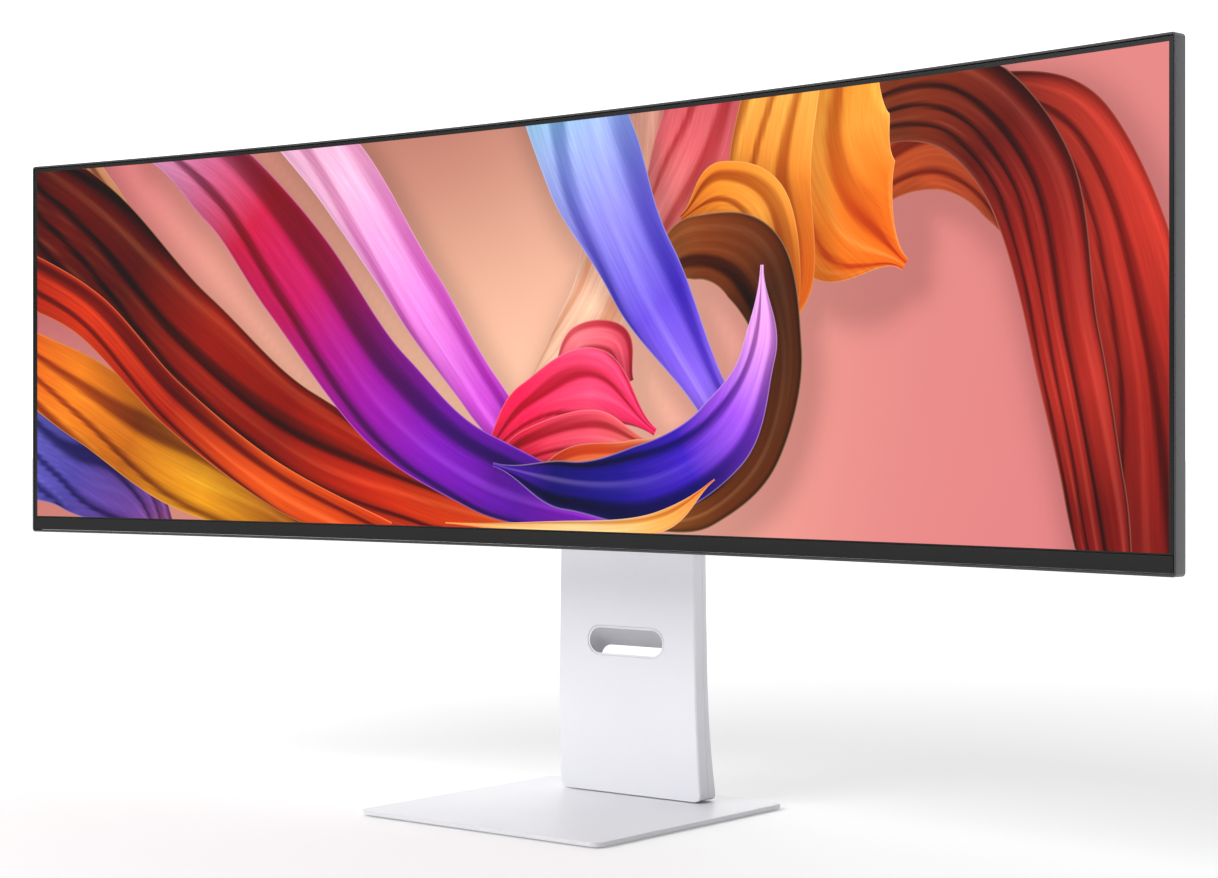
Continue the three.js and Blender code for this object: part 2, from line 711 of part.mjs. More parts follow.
/** A torsion spring on the tilt shaft, on one side of the arm. */
function torsionSpring(sign) {
  const { turns, radius, wire, from, long, steps } = TILT_COIL;
  class Coil extends THREE.Curve {
    getPoint(t, target = new THREE.Vector3()) {
      const angle = t * turns * 2 * Math.PI;
      const x = sign * (ARM_HALF + from + t * long);
      return target.set(x, PIVOT_Y + radius * Math.cos(angle), HEAD_Z + radius * Math.sin(angle));
    }
  }
  const section = new THREE.Shape(Array.from({ length: 6 }, (_, k) => {
    const angle = (k * Math.PI) / 3;
    return new THREE.Vector2(wire * Math.cos(angle), wire * Math.sin(angle));
  }));
  return new THREE.ExtrudeGeometry(section, { steps, bevelEnabled: false, extrudePath: new Coil() });
}

function buildHead() {
  const ring = cut(
    curvedSlab(HALF_ARC, [0, FRAME_DEEP], [FRAME_LOW, FRAME_HIGH], FRAME_CORNER),
    curvedSlab(
      HALF_ARC - FRAME_WALL,
      [-PAST, FRAME_DEEP + PAST],
      [FRAME_LOW + FRAME_WALL, FRAME_HIGH - FRAME_WALL],
    ),
  );
  add(head, "front_frame", ring, FINISHES.frame);

  const glassHalf = HALF_ARC - FRAME_WALL - GROOVE;
  const glassHigh = FRAME_HIGH - FRAME_WALL - GROOVE;
  add(head, "bottom_bezel", curvedSlab(glassHalf, BEZEL_DEPTHS, [STRIP_LOW, STRIP_HIGH]), FINISHES.bezel);
  add(head, "lcd_panel", curvedSlab(glassHalf, PANEL_DEPTHS, [STRIP_HIGH + GAP, glassHigh]), FINISHES.glass);

  const stackHalf = glassHalf - TRAY_WALL - GAP;
  const stackHigh = glassHigh - TRAY_WALL - GAP;
  const guideLow = STRIP_HIGH + GAP;
  const ledHigh = guideLow - GAP;
  add(head, "optical_sheets", curvedSlab(stackHalf, SHEET_DEPTHS, [guideLow, stackHigh]), FINISHES.film);
  add(head, "light_guide", curvedSlab(stackHalf, GUIDE_DEPTHS, [guideLow, stackHigh]), FINISHES.acrylic);
  const ledBar = curvedSlab(stackHalf - LED.inset, LED.depths, [ledHigh - LED.tall, ledHigh]);
  add(head, "led_bar", ledBar, FINISHES.steel);
  const tray = cut(
    curvedSlab(glassHalf, TRAY_DEPTHS, [STRIP_LOW, glassHigh]),
    curvedSlab(glassHalf - TRAY_WALL, [0, TRAY_FLOOR], [STRIP_LOW + TRAY_WALL, glassHigh - TRAY_WALL]),
  );
  add(head, "backlight_tray", tray, FINISHES.steel);

  buildRearCover();
}

function buildRearCover() {
  const outside = join(domedSolid(COVER_FRONT, 0), humpBlock(0));
  const inside = join(domedSolid(COVER_FRONT - PAST, COVER_WALL), humpBlock(COVER_WALL));
  const tub = roundSlab(
    [-RECESS - COVER_WALL, RECESS + COVER_WALL],
    [RECESS_FLOOR - COVER_WALL, HUMP_FACE - 0.5],
    [HEAD_Z - RECESS - COVER_WALL, HEAD_Z + RECESS + COVER_WALL],
    RECESS_CORNER + 2,
  );
  const recess = roundSlab(
    [-RECESS, RECESS],
    [RECESS_FLOOR, HUMP_FACE + PAST],
    [HEAD_Z - RECESS, HEAD_Z + RECESS],
    RECESS_CORNER,
  );
  const screwHoles = SIDES.flatMap(([, across]) =>
    SIDES.map(([, up]) =>
      rod("y", SCREW_RADIUS + 0.4, 0, 9, [across * SCREW_GRID, HEAD_Z + up * SCREW_GRID], 12),
    ),
  );
  const latchHalf = LATCH.half + LATCH.side;
  const latchHole = centredBox(latchHalf, [0, LATCH_TOP - latchHalf], [RECESS_FLOOR + PAST, LATCH_TOP + 1]);
  const [buttonWide, buttonTall] = BUTTON.half.map((half) => half + 0.5);
  const buttonHole = roundSlab(
    [-buttonWide, buttonWide],
    [0, HUMP_FACE + PAST],
    [BUTTON_Z - buttonTall, BUTTON_Z + buttonTall],
    BUTTON.corner + 0.5,
  );
  const vents = Array.from({ length: VENTS.count }, (_, k) => {
    const x = (k - (VENTS.count - 1) / 2) * VENTS.pitch;
    return box([x - VENTS.wide / 2, 0, VENTS.low], [x + VENTS.wide / 2, HUMP_FACE + PAST, VENTS.high]);
  });
  const portWindow = roundSlab(PORTS.x, [0, HUMP_FACE + PAST], PORTS.z, 4);
  const inletWindow = roundSlab(INLET.x, [0, HUMP_FACE + PAST], INLET.z, 2);
  const joystickHole = rod("z", JOYSTICK.hole, 255, 290, [0, JOYSTICK_Y]);
  const cover = cut(
    join(cut(outside, inside), tub),
    recess,
    ...screwHoles,
    latchHole,
    buttonHole,
    ...vents,
    portWindow,
    inletWindow,
    joystickHole,
  );
  add(head, "rear_cover", cover, FINISHES.whiteShell);
}

function buildStandMount() {
  const side = RECESS - GAP - 0.2;
  const plateBack = RECESS_FLOOR + GAP + RECEIVER_THICK;
  const latchHalf = LATCH.half + LATCH.side;
  const latchWindow = centredBox(latchHalf, [0, HEAD_Z - side - PAST], [20, LATCH_TOP + 1]);
  const screwHoles = [];
  for (const [across, signX] of SIDES) {
    for (const [up, signZ] of [["low", -1], ["high", 1]]) {
      const at = [signX * SCREW_GRID, HEAD_Z + signZ * SCREW_GRID];
      screwHoles.push(rod("y", SCREW_RADIUS + 0.4, 0, 20, at, 12));
      const headFoot = plateBack + GAP;
      const screw = join(
        rod("y", SCREW_RADIUS, -1, plateBack + 1, at, 12),
        rod("y", SCREW_HEAD.radius, headFoot, headFoot + SCREW_HEAD.tall, at, 12),
      );
      add(head, `mount_screw_${up}_${across}`, screw, FINISHES.steel);
    }
  }
  const plate = roundSlab([-side, side], [RECESS_FLOOR + GAP, plateBack], [HEAD_Z - side, HEAD_Z + side], 5);
  add(head, "receiver_plate", cut(plate, ...screwHoles, latchWindow), FINISHES.darkSteel);

  const bracketFront = plateBack + GAP;
  const flange = roundSlab(
    [-FLANGE_HALF, FLANGE_HALF],
    [bracketFront, bracketFront + FLANGE_THICK],
    [HEAD_Z - FLANGE_HALF, HEAD_Z + FLANGE_HALF],
    5,
  );
  const ears = SIDES.map(([, sign]) => {
    const faces = EAR.x.map((x) => sign * x).sort((a, b) => a - b);
    const wedge = loft(
      faces.map((x) => [
        [x, bracketFront + 1, HEAD_Z - EAR.root],
        [x, PIVOT_Y, HEAD_Z - EAR.radius],
        [x, PIVOT_Y, HEAD_Z + EAR.radius],
        [x, bracketFront + 1, HEAD_Z + EAR.root],
      ]),
    );
    return join(wedge, rod("x", EAR.radius, ...faces, [PIVOT_Y, HEAD_Z]));
  });
  const bore = rod("x", SHAFT_RADIUS + GAP, -40, 40, [PIVOT_Y, HEAD_Z]);
  add(head, "tilt_bracket", cut(join(flange, ...ears), bore), FINISHES.darkSteel);
}

/** A board with the parts that stand on it. */
function board([x0, x1], parts, cans = []) {
  return join(
    box([x0, BOARD_Y[0], BOARD_Z[0]], [x1, BOARD_Y[1], BOARD_Z[1]]),
    ...parts.map(({ x, z, top, foot = ON_BOARD }) => box([x[0], foot, z[0]], [x[1], top, z[1]])),
    ...cans.map(({ x, z, radius, top }) => rod("y", radius, ON_BOARD, top, [x, z], 16)),
  );
}

function buildElectronics() {
  const { half, y, rim, z, thick } = CHASSIS;
  const chassis = join(
    centredBox(half, [y[0], z[0]], [y[1], z[1]]),
    centredBox(half, [y[0], z[0]], [rim, z[0] + thick]),
    centredBox(half, [y[0], z[1] - thick], [rim, z[1]]),
  );
  add(head, "board_chassis", chassis, FINISHES.steel);
  add(head, "main_board", board(MAIN_BOARD_X, MAIN_PARTS), FINISHES.board);
  add(head, "power_board", board(POWER_BOARD_X, POWER_PARTS, CAPACITORS), FINISHES.board);

  for (const [side, sign] of SIDES) {
    const x = SPEAKER.x.map((reach) => sign * reach).sort((a, b) => a - b);
    const cabinet = roundSlab(x, SPEAKER.y, SPEAKER.z, SPEAKER.corner, 2);
    const middle = [(x[0] + x[1]) / 2, (SPEAKER.z[0] + SPEAKER.z[1]) / 2];
    const horn = rod("y", SPEAKER.horn, SPEAKER.y[1] - 1, SPEAKER.hornTop, middle, 20);
    add(head, `speaker_${side}`, join(cabinet, horn), FINISHES.black);
  }

  buildSockets();
}

/** A socket facing +Y: a shell with a hollow, and a tongue in it. */
function socket({ x, wide, tall, corner, wall, tongue }) {
  const z = (PORTS.z[0] + PORTS.z[1]) / 2;
  const face = PORTS.face - UNDER_PLATE;
  const outline = (inset) => [
    [x - wide / 2 + inset, x + wide / 2 - inset],
    [z - tall / 2 + inset, z + tall / 2 - inset],
  ];
  const [outX, outZ] = outline(0);
  const [inX, inZ] = outline(wall);
  const shell = cut(
    roundSlab(outX, [SOCKET_BACK, face], outZ, corner, 3),
    roundSlab(inX, [face - SOCKET_DEEP, face + PAST], inZ, Math.max(0.4, corner - wall), 3),
  );
  const blade = box(
    [inX[0] + tongue.side, face - SOCKET_DEEP - 1, z + tongue.z - tongue.thick / 2],
    [inX[1] - tongue.side, face - 1, z + tongue.z + tongue.thick / 2],
  );
  return join(shell, blade);
}

function buildSockets() {
  const z = (PORTS.z[0] + PORTS.z[1]) / 2;
  const jackAt = [JACK.x, z];
  const cutouts = SOCKETS.map(([name, size]) => {
    add(head, name, socket(size), FINISHES.steel);
    const wide = size.wide / 2 + GAP;
    const tall = size.tall / 2 + GAP;
    return roundSlab([size.x - wide, size.x + wide], [0, 20], [z - tall, z + tall], size.corner, 3);
  });
  const plate = roundSlab(
    [PORTS.x[0] + GAP, PORTS.x[1] - GAP],
    [PORTS.face - PORT_PLATE_THICK, PORTS.face],
    [PORTS.z[0] + GAP, PORTS.z[1] - GAP],
    4 - GAP,
  );
  const jackHole = rod("y", JACK.radius + GAP, 0, 20, jackAt);
  add(head, "port_plate", cut(plate, ...cutouts, jackHole), FINISHES.black);

  const jack = cut(
    rod("y", JACK.radius, JACK.back, PORTS.face - UNDER_PLATE, jackAt),
    rod("y", JACK.bore, 0, PORTS.face + PAST, jackAt, 16),
  );
  add(head, "audio_jack", jack, FINISHES.black);

  const inletZ = (INLET.z[0] + INLET.z[1]) / 2;
  const inletX = (INLET.x[0] + INLET.x[1]) / 2;
  const body = roundSlab(
    [INLET.x[0] + GAP, INLET.x[1] - GAP],
    [INLET.back, INLET.face],
    [INLET.z[0] + GAP, INLET.z[1] - GAP],
    2,
  );
  const [wellWide, wellTall] = INLET_WELL.half;
  const well = roundSlab(
    [inletX - wellWide, inletX + wellWide],
    [INLET_WELL.floor, 20],
    [inletZ - wellTall, inletZ + wellTall],
    INLET_WELL.corner,
  );
  const [pinWide, pinTall] = INLET_PIN.half;
  const blades = [-1, 0, 1].map((place) => {
    const x = inletX + place * INLET_PIN.pitch;
    const z = inletZ + (place === 0 ? INLET_PIN.lift : -INLET_PIN.lift);
    return box(
      [x - pinWide, INLET_WELL.floor - 1, z - pinTall],
      [x + pinWide, INLET_PIN.top, z + pinTall],
    );
  });
  add(head, "ac_inlet", join(cut(body, well), ...blades), FINISHES.black);
}

function buildControls() {
  const face = HUMP_FACE - BUTTON.under;
  const [wide, tall] = BUTTON.half;
  const cap = roundSlab(
    [-wide, wide],
    [face - BUTTON.deep, face],
    [BUTTON_Z - tall, BUTTON_Z + tall],
    BUTTON.corner,
  );
  add(head, "release_button", cap, FINISHES.whiteShell);

  const latch = centredBox(LATCH.half, [LATCH.y[0], LATCH_TOP - LATCH.tall], [LATCH.y[1], LATCH_TOP]);
  add(head, "release_latch", latch, FINISHES.steel);

  const at = [0, JOYSTICK_Y];
  const switchBody = cut(
    box(
      [-SWITCH.half, JOYSTICK_Y - SWITCH.half, SWITCH.z[0]],
      [SWITCH.half, JOYSTICK_Y + SWITCH.half, SWITCH.z[1]],
    ),
    rod("z", SWITCH.bore, SWITCH.z[0] - PAST, SWITCH.boreTop, at),
  );
  add(head, "joystick_switch", switchBody, FINISHES.black);

  const ringLow = JOYSTICK_PIVOT - JOYSTICK.ringHalf;
  const ringHigh = JOYSTICK_PIVOT + JOYSTICK.ringHalf;
  const ring = cut(
    rod("z", JOYSTICK.ring, ringLow, ringHigh, at),
    rod("z", JOYSTICK.ringBore, ringLow - PAST, ringHigh + PAST, at, 16),
  );
  add(head, "joystick_ring", ring, FINISHES.acetal);
  add(head, "joystick_stem", rod("z", JOYSTICK.stem, JOYSTICK.stemLow, ringHigh, at, 12), FINISHES.acetal);

  const profile = JOYSTICK_PROFILE.map(([r, z]) => new THREE.Vector2(r, z));
  const button = new THREE.LatheGeometry(profile, 20).rotateX(Math.PI / 2).translate(0, JOYSTICK_Y, 0);
  add(head, "joystick_cap", button, FINISHES.black);
}

export default monitor;
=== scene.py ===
"""Looks of a curved ultrawide monitor on a white slab stand.

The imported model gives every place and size. This file dresses its pieces, replaces the
ones whose surfaces are seen close up with finer meshes, lights them and sets the camera.
All lengths are in metres.
"""

from __future__ import annotations

import json
import logging
import math
from dataclasses import dataclass, field
from enum import Enum
from typing import NamedTuple, Sequence

import bmesh
import bpy
import numpy as np
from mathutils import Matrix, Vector


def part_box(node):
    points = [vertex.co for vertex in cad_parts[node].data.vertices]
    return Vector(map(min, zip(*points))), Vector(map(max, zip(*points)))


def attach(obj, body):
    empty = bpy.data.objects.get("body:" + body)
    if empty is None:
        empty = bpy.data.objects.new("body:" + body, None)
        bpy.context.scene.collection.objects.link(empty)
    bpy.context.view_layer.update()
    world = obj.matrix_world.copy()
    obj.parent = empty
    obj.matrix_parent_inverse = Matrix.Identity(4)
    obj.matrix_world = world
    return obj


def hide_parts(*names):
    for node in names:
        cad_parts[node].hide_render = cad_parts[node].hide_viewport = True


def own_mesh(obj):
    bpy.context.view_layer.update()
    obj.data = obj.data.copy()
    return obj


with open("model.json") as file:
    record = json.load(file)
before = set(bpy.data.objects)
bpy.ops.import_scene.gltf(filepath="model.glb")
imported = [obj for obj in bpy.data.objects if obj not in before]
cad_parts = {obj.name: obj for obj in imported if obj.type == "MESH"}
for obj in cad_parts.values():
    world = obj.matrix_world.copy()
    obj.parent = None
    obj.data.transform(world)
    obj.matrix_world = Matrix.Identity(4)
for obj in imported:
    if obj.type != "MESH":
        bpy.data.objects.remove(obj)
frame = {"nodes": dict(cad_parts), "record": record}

LOG = logging.getLogger("monitor")
MM = 0.001
SHARP_DEGREES = 32.0  # edges that are rounded on the copied pieces
SLAB_SHARP_DEGREES = 40.0
BAND_SHARP_DEGREES = 50.0
FLAT_DEGREES = 0.2  # faces that differ by less are merged
WELD, FINE_WELD = 2e-6, 1e-7  # points that are closer are merged
FILLET_STEPS = 4
Array = np.ndarray
Piece = bpy.types.Object
Socket = bpy.types.NodeSocket
Tree = bpy.types.NodeTree
Pair = tuple[float, float]
Triple = tuple[float, float, float]


# ---- colour and nodes


def linear(hex_colour: str) -> tuple[float, ...]:
    """Turns an sRGB colour into linear light.

    Args:
        hex_colour: Six hex digits.

    Returns:
        Linear red, green, blue and an alpha of one.
    """
    channels = [int(hex_colour[k : k + 2], 16) / 255 for k in (0, 2, 4)]
    bright = [c / 12.92 if c <= 0.04045 else ((c + 0.055) / 1.055) ** 2.4 for c in channels]
    return (*bright, 1.0)


def add_node(
    tree: Tree, kind: str, settings: dict | None = None, **links: Socket | bpy.types.Node
) -> bpy.types.Node:
    """Adds a node with its settings and links.

    Args:
        tree: The material's node tree.
        kind: The node's type name, without its ShaderNode prefix.
        settings: Values by property name, or by input name where it has such an input.
        links: Sockets, or nodes for their first output, by input name, with _ for space.

    Returns:
        The new node.
    """
    node = tree.nodes.new(f"ShaderNode{kind}")
    for name, value in (settings or {}).items():
        if name in node.inputs:
            node.inputs[name].default_value = value
        else:
            setattr(node, name, value)
    for name, source in links.items():
        socket = source.outputs[0] if isinstance(source, bpy.types.Node) else source
        tree.links.new(socket, node.inputs[name.replace("_", " ")])
    return node


def empty_material(name: str) -> bpy.types.Material:
    """Makes a material whose node tree is empty.

    Args:
        name: The material's name.

    Returns:
        The material.
    """
    made = bpy.data.materials.new(name)
    made.use_nodes = True
    made.node_tree.nodes.clear()
    return made


@dataclass(frozen=True)
class Finish:
    """A surface with fine relief, a slow change of tone and a change of gloss.

    Attributes:
        name: The material's real name.
        colour: Its mean colour.
        second: The tone that the slow change goes to.
        roughness: Mean roughness.
        metallic: One for bare metal.
        grain_mm: Size of the relief's grains.
        relief_mm: Height of the relief.
        drift_mm: Size of the slow patches of tone.
        stretch: How many times longer the grain is along each axis.
        ior: Index of refraction, for what isn't metal.
        specular: Specular level.
    """

    name: str
    colour: str
    second: str
    roughness: float = 0.5
    metallic: float = 0.0
    grain_mm: float = 0.9
    relief_mm: float = 0.01
    drift_mm: float = 60.0
    stretch: Triple = (1.0, 1.0, 1.0)
    ior: float = 1.5
    specular: float = 0.5

    def material(self) -> bpy.types.Material:
        """Makes the material, or finds it.

        Returns:
            The material.
        """
        known = bpy.data.materials.get(self.name)
        if known:
            return known
        made = empty_material(self.name)
        tree = made.node_tree
        place = add_node(tree, "TexCoord").outputs["Object"]
        drawn = add_node(tree, "Mapping", {"Scale": [1 / s for s in self.stretch]}, Vector=place)
        grain = add_node(
            tree, "TexNoise",
            {"Scale": 1 / (self.grain_mm * MM), "Detail": 3.0, "Roughness": 0.55}, Vector=drawn,
        )
        drift = add_node(
            tree, "TexNoise", {"Scale": 1 / (self.drift_mm * MM), "Detail": 2.0}, Vector=place,
        )
        tone = self.tone(tree, place, drift.outputs["Fac"])
        gloss = add_node(
            tree, "MapRange",
            {"From Min": 0.3, "From Max": 0.7, "To Min": self.roughness * 0.9,
             "To Max": min(1, self.roughness * 1.1)}, Value=drift,
        )
        bump = add_node(
            tree, "Bump", {"Strength": 0.5, "Distance": self.relief_mm * MM}, Height=grain,
        )
        shader = add_node(
            tree, "BsdfPrincipled",
            {"Metallic": self.metallic, "IOR": self.ior, "Specular IOR Level": self.specular},
            Base_Color=tone, Roughness=gloss, Normal=bump,
        )
        add_node(tree, "OutputMaterial", Surface=shader)
        return made

    def tone(self, tree: Tree, place: Socket, drift: Socket) -> Socket:
        """Mixes the two tones by the slow change.

        Args:
            tree: The material's node tree.
            place: Object coordinates, which a plain finish doesn't use.
            drift: The slow noise.

        Returns:
            The colour socket.
        """
        mix = add_node(tree, "Mix", {"data_type": "RGBA"}, Factor=drift)
        mix.inputs[6].default_value = linear(self.colour)
        mix.inputs[7].default_value = linear(self.second)
        return mix.outputs[2]


@dataclass(frozen=True)
class Board(Finish):
    """A printed circuit board: solder mask over copper tracks.

    Attributes:
        track_mm: Height of a track.
        copper: Colour of the lines between the tracks.
    """

    track_mm: float = 3.2
    copper: str = "6fae7c"

    def tone(self, tree: Tree, place: Socket, drift: Socket) -> Socket:
        """Draws tracks as the cells of a brick pattern, with lighter lines between them.

        Args:
            tree: The material's node tree.
            place: Object coordinates.
            drift: The slow noise, which a board doesn't show.

        Returns:
            The colour socket.
        """
        turned = add_node(tree, "Mapping", {"Rotation": (math.pi / 2, 0, 0)}, Vector=place)
        tracks = add_node(
            tree, "TexBrick",
            {"Scale": 1 / (self.track_mm * MM), "Color1": linear(self.colour),
             "Color2": linear(self.second), "Mortar": linear(self.copper),
             "Mortar Size": 0.06, "Brick Width": 3.0, "Row Height": 1.0}, Vector=turned,
        )
        return tracks.outputs["Color"]


@dataclass(frozen=True)
class LitPicture:
    """The lit picture behind a matte anti-glare film.

    Attributes:
        name: The material's name.
        strength: Strength of its light.
        streak: Streaks in a picture height, along a ribbon and across it.
    """

    name: str = "lit_picture_film"
    strength: float = 1.24
    streak: Pair = (5.0, 70.0)

    def material(self) -> bpy.types.Material:
        """Makes the material: the mesh's own colours, with satin streaks along each ribbon.

        Returns:
            The material.
        """
        made = empty_material(self.name)
        tree = made.node_tree
        dye = add_node(tree, "VertexColor", {"layer_name": "dye"})
        cloth = add_node(tree, "UVMap", {"uv_map": "cloth"})
        drawn = add_node(tree, "Mapping", {"Scale": (*self.streak, 1.0)}, Vector=cloth)
        threads = add_node(
            tree, "TexNoise", {"Scale": 1.0, "Detail": 4.0, "Roughness": 0.6}, Vector=drawn,
        )
        shade = add_node(
            tree, "MapRange", {"From Min": 0.3, "From Max": 0.7, "To Min": 0.86, "To Max": 1.12},
            Value=threads,
        )
        light = add_node(tree, "VectorMath", {"operation": "SCALE"}, Vector=dye, Scale=shade)
        shader = add_node(
            tree, "BsdfPrincipled",
            {"Base Color": linear("060505"), "Roughness": 0.55, "Specular IOR Level": 0.08,
             "Emission Strength": self.strength}, Emission_Color=light,
        )
        add_node(tree, "OutputMaterial", Surface=shader)
        return made


class Slot(Enum):
    """The finishes by the record's material slot."""

    FRAME = "dark_frame"
    BEZEL = "dark_bezel"
    GLASS = "panel_glass"
    FILM = "diffuser_film"
    GUIDE = "acrylic_guide"
    SHEET = "sheet_steel"
    SHELL = "white_shell"
    PAINT = "white_paint"
    DARK_STEEL = "dark_steel"
    STEEL = "bright_steel"
    ZINC = "zinc_casting"
    SPRING = "spring_steel"
    BOARD = "board_green"
    BLACK = "black_plastic"
    ACETAL = "acetal"
    RUBBER = "rubber_pad"


FINISHES: dict[Slot, Finish] = {
    # Painted metal band: a satin film that hides the metal's grain.
    Slot.FRAME: Finish("satin_painted_aluminium", "333335", "373739", 0.4, grain_mm=0.5,
        relief_mm=0.006, specular=0.45),
    # Spark-eroded ABS: an even, matte black grain.
    Slot.BEZEL: Finish("eroded_abs_black", "141514", "181918", 0.6, grain_mm=0.6, relief_mm=0.012,
        specular=0.22),
    # Polariser over ink: near black, with a soft reflection.
    Slot.GLASS: Finish("black_matrix_under_polariser", "0c0a0a", "100e0d", 0.3, grain_mm=0.4,
        relief_mm=0.002, specular=0.25),
    Slot.FILM: Finish("pet_diffuser_film", "eceeec", "f2f3f1", 0.55, grain_mm=0.3, relief_mm=0.004),
    Slot.GUIDE: Finish("cast_acrylic", "d8e2e6", "e0e9ec", 0.12, grain_mm=2.0, relief_mm=0.001,
        ior=1.49),
    # Galvanised sheet: spangle in patches of a few millimetres.
    Slot.SHEET: Finish("galvanised_sheet_steel", "9b9fa2", "b4b8ba", 0.42, 1.0, grain_mm=3.0,
        drift_mm=9.0),
    # Moulded white ABS with a fine eroded grain, slightly blue.
    Slot.SHELL: Finish("eroded_abs_white", "e9e9ee", "eeeef2", grain_mm=0.7, relief_mm=0.012),
    # Powder coat on steel: the low orange peel of a baked powder.
    Slot.PAINT: Finish("white_powder_coat", "dedee2", "e2e2e6", 0.42, grain_mm=1.6, relief_mm=0.02),
    Slot.DARK_STEEL: Finish("black_oxide_steel", "4a4c4e", "5b5d60", 0.45, 0.9, grain_mm=0.8,
        drift_mm=14.0),
    # Ground rod: scratches run round, so the grain is short along the rod.
    Slot.STEEL: Finish("ground_steel", "b9bcbf", "c9cbcd", 0.28, 1.0, grain_mm=0.35,
        relief_mm=0.004, stretch=(4.0, 4.0, 0.5)),
    Slot.ZINC: Finish("die_cast_zinc", "8b8d8f", "9c9ea0", 0.5, 0.85, grain_mm=1.2, relief_mm=0.03,
        drift_mm=20.0),
    Slot.SPRING: Finish("oiled_spring_wire", "6f7274", "85888a", 0.32, 1.0, grain_mm=0.3,
        drift_mm=5.0),
    Slot.BOARD: Board("solder_mask_on_glass_epoxy", "1c5a37", "1f6640", 0.4, grain_mm=1.0),
    Slot.BLACK: Finish("black_pbt", "222224", "29292b", grain_mm=0.6),
    Slot.ACETAL: Finish("natural_acetal", "ece8dc", "f1eee3", 0.45, grain_mm=0.8, relief_mm=0.004),
    Slot.RUBBER: Finish("moulded_rubber", "2c2c2e", "333335", 0.85, grain_mm=0.5, relief_mm=0.02),
}

# The band's outer wall takes a lighter copy of the frame's paint, with its grain stretched: the
# lighter tone is painted sheen, for the light that the side wall catches.
SIDE_SHEEN_FINISH = Finish("painted_aluminium_painted_sheen", "68686a", "6e6e70", 0.42, grain_mm=0.5,
    relief_mm=0.006, stretch=(8.0, 1.0, 8.0))

# The cable slot is painted greyer inside than on its rims: painted shade, for the shade that falls
# inside the slot.
LINER_SHADE_FINISH = Finish("eroded_abs_painted_slot_shade", "bcbcc1", "c2c2c7", grain_mm=0.7, relief_mm=0.012)


# ---- meshes


def linked(name: str, data: bpy.types.ID) -> Piece:
    """Makes an object and links it into the scene.

    Args:
        name: The object's name.
        data: Its mesh, camera or light.

    Returns:
        The object.
    """
    made = bpy.data.objects.new(name, data)
    bpy.context.scene.collection.objects.link(made)
    return made


def surface(name: str, points: Array, faces: Sequence | Array, smooth: bool = True) -> Piece:
    """Makes an object of points and faces, at the origin.

    Args:
        name: The piece's name.
        points: Rows of x, y, z.
        faces: Corners of each face.
        smooth: Whether its faces are shaded smooth.

    Returns:
        The object, linked into the scene.
    """
    mesh = bpy.data.meshes.new(name)
    corners = faces.tolist() if isinstance(faces, np.ndarray) else faces
    mesh.from_pydata(points.tolist(), [], corners)
    mesh.update()
    mesh.polygons.foreach_set("use_smooth", np.full(len(mesh.polygons), smooth))
    return linked(name, mesh)


def grid_faces(
    rows: int, columns: int, close_rows: bool = False, close_columns: bool = False
) -> Array:
    """Quads of a grid of points that is stored row by row.

    Args:
        rows: Number of rows of points.
        columns: Number of points in a row.
        close_rows: Whether the last row joins the first.
        close_columns: Whether the last column joins the first.

    Returns:
        An array of four corners for each quad.
    """
    row = np.arange(rows if close_rows else rows - 1)[:, None]
    column = np.arange(columns if close_columns else columns - 1)[None, :]
    next_row, next_column = (row + 1) % rows, (column + 1) % columns
    a, b = row * columns + column, row * columns + next_column
    c, d = next_row * columns + next_column, next_row * columns + column
    return np.stack([a, b, c, d], axis=-1).reshape(-1, 4)


def outward(piece: Piece) -> Piece:
    """Merges doubled points and turns every face outwards.

    Args:
        piece: A closed mesh object.

    Returns:
        The same object.
    """
    work = bmesh.new()
    work.from_mesh(piece.data)
    bmesh.ops.remove_doubles(work, verts=work.verts, dist=FINE_WELD)
    bmesh.ops.recalc_face_normals(work, faces=work.faces)
    work.to_mesh(piece.data)
    work.free()
    return piece


def sharpen(piece: Piece, degrees: float = SHARP_DEGREES) -> None:
    """Shades a piece smooth but for the edges whose faces meet at more than an angle.

    Args:
        piece: A mesh object.
        degrees: The angle.
    """
    piece.data.polygons.foreach_set("use_smooth", np.full(len(piece.data.polygons), True))
    piece.data.set_sharp_from_angle(angle=math.radians(degrees))


def round_path(
    half: Pair, radius: float, straight: tuple[int, int], corner: int
) -> tuple[Array, Array]:
    """Gives a round-cornered rectangle as a centre and a direction for each point.

    The outline at a distance r is centre + r * direction.

    Args:
        half: Half width and half height of the outline.
        radius: Corner radius.
        straight: Steps along the width and along the height.
        corner: Steps in each corner.

    Returns:
        Centres and unit directions, each as rows of two.
    """
    hx, hy = half[0] - radius, half[1] - radius
    corners = np.array([[hx, hy], [-hx, hy], [-hx, -hy], [hx, -hy]])
    centres, directions = [], []
    for k in range(4):
        angle = np.linspace(0, math.pi / 2, corner + 1) + k * math.pi / 2
        turned = np.stack([np.cos(angle), np.sin(angle)], axis=1)
        part = np.linspace(0, 1, straight[k % 2] + 1)[1:-1, None]
        centres += [np.tile(corners[k], (len(angle), 1)),
                    corners[k] * (1 - part) + corners[(k + 1) % 4] * part]
        directions += [turned, np.tile(turned[-1], (len(part), 1))]
    return np.concatenate(centres), np.concatenate(directions)


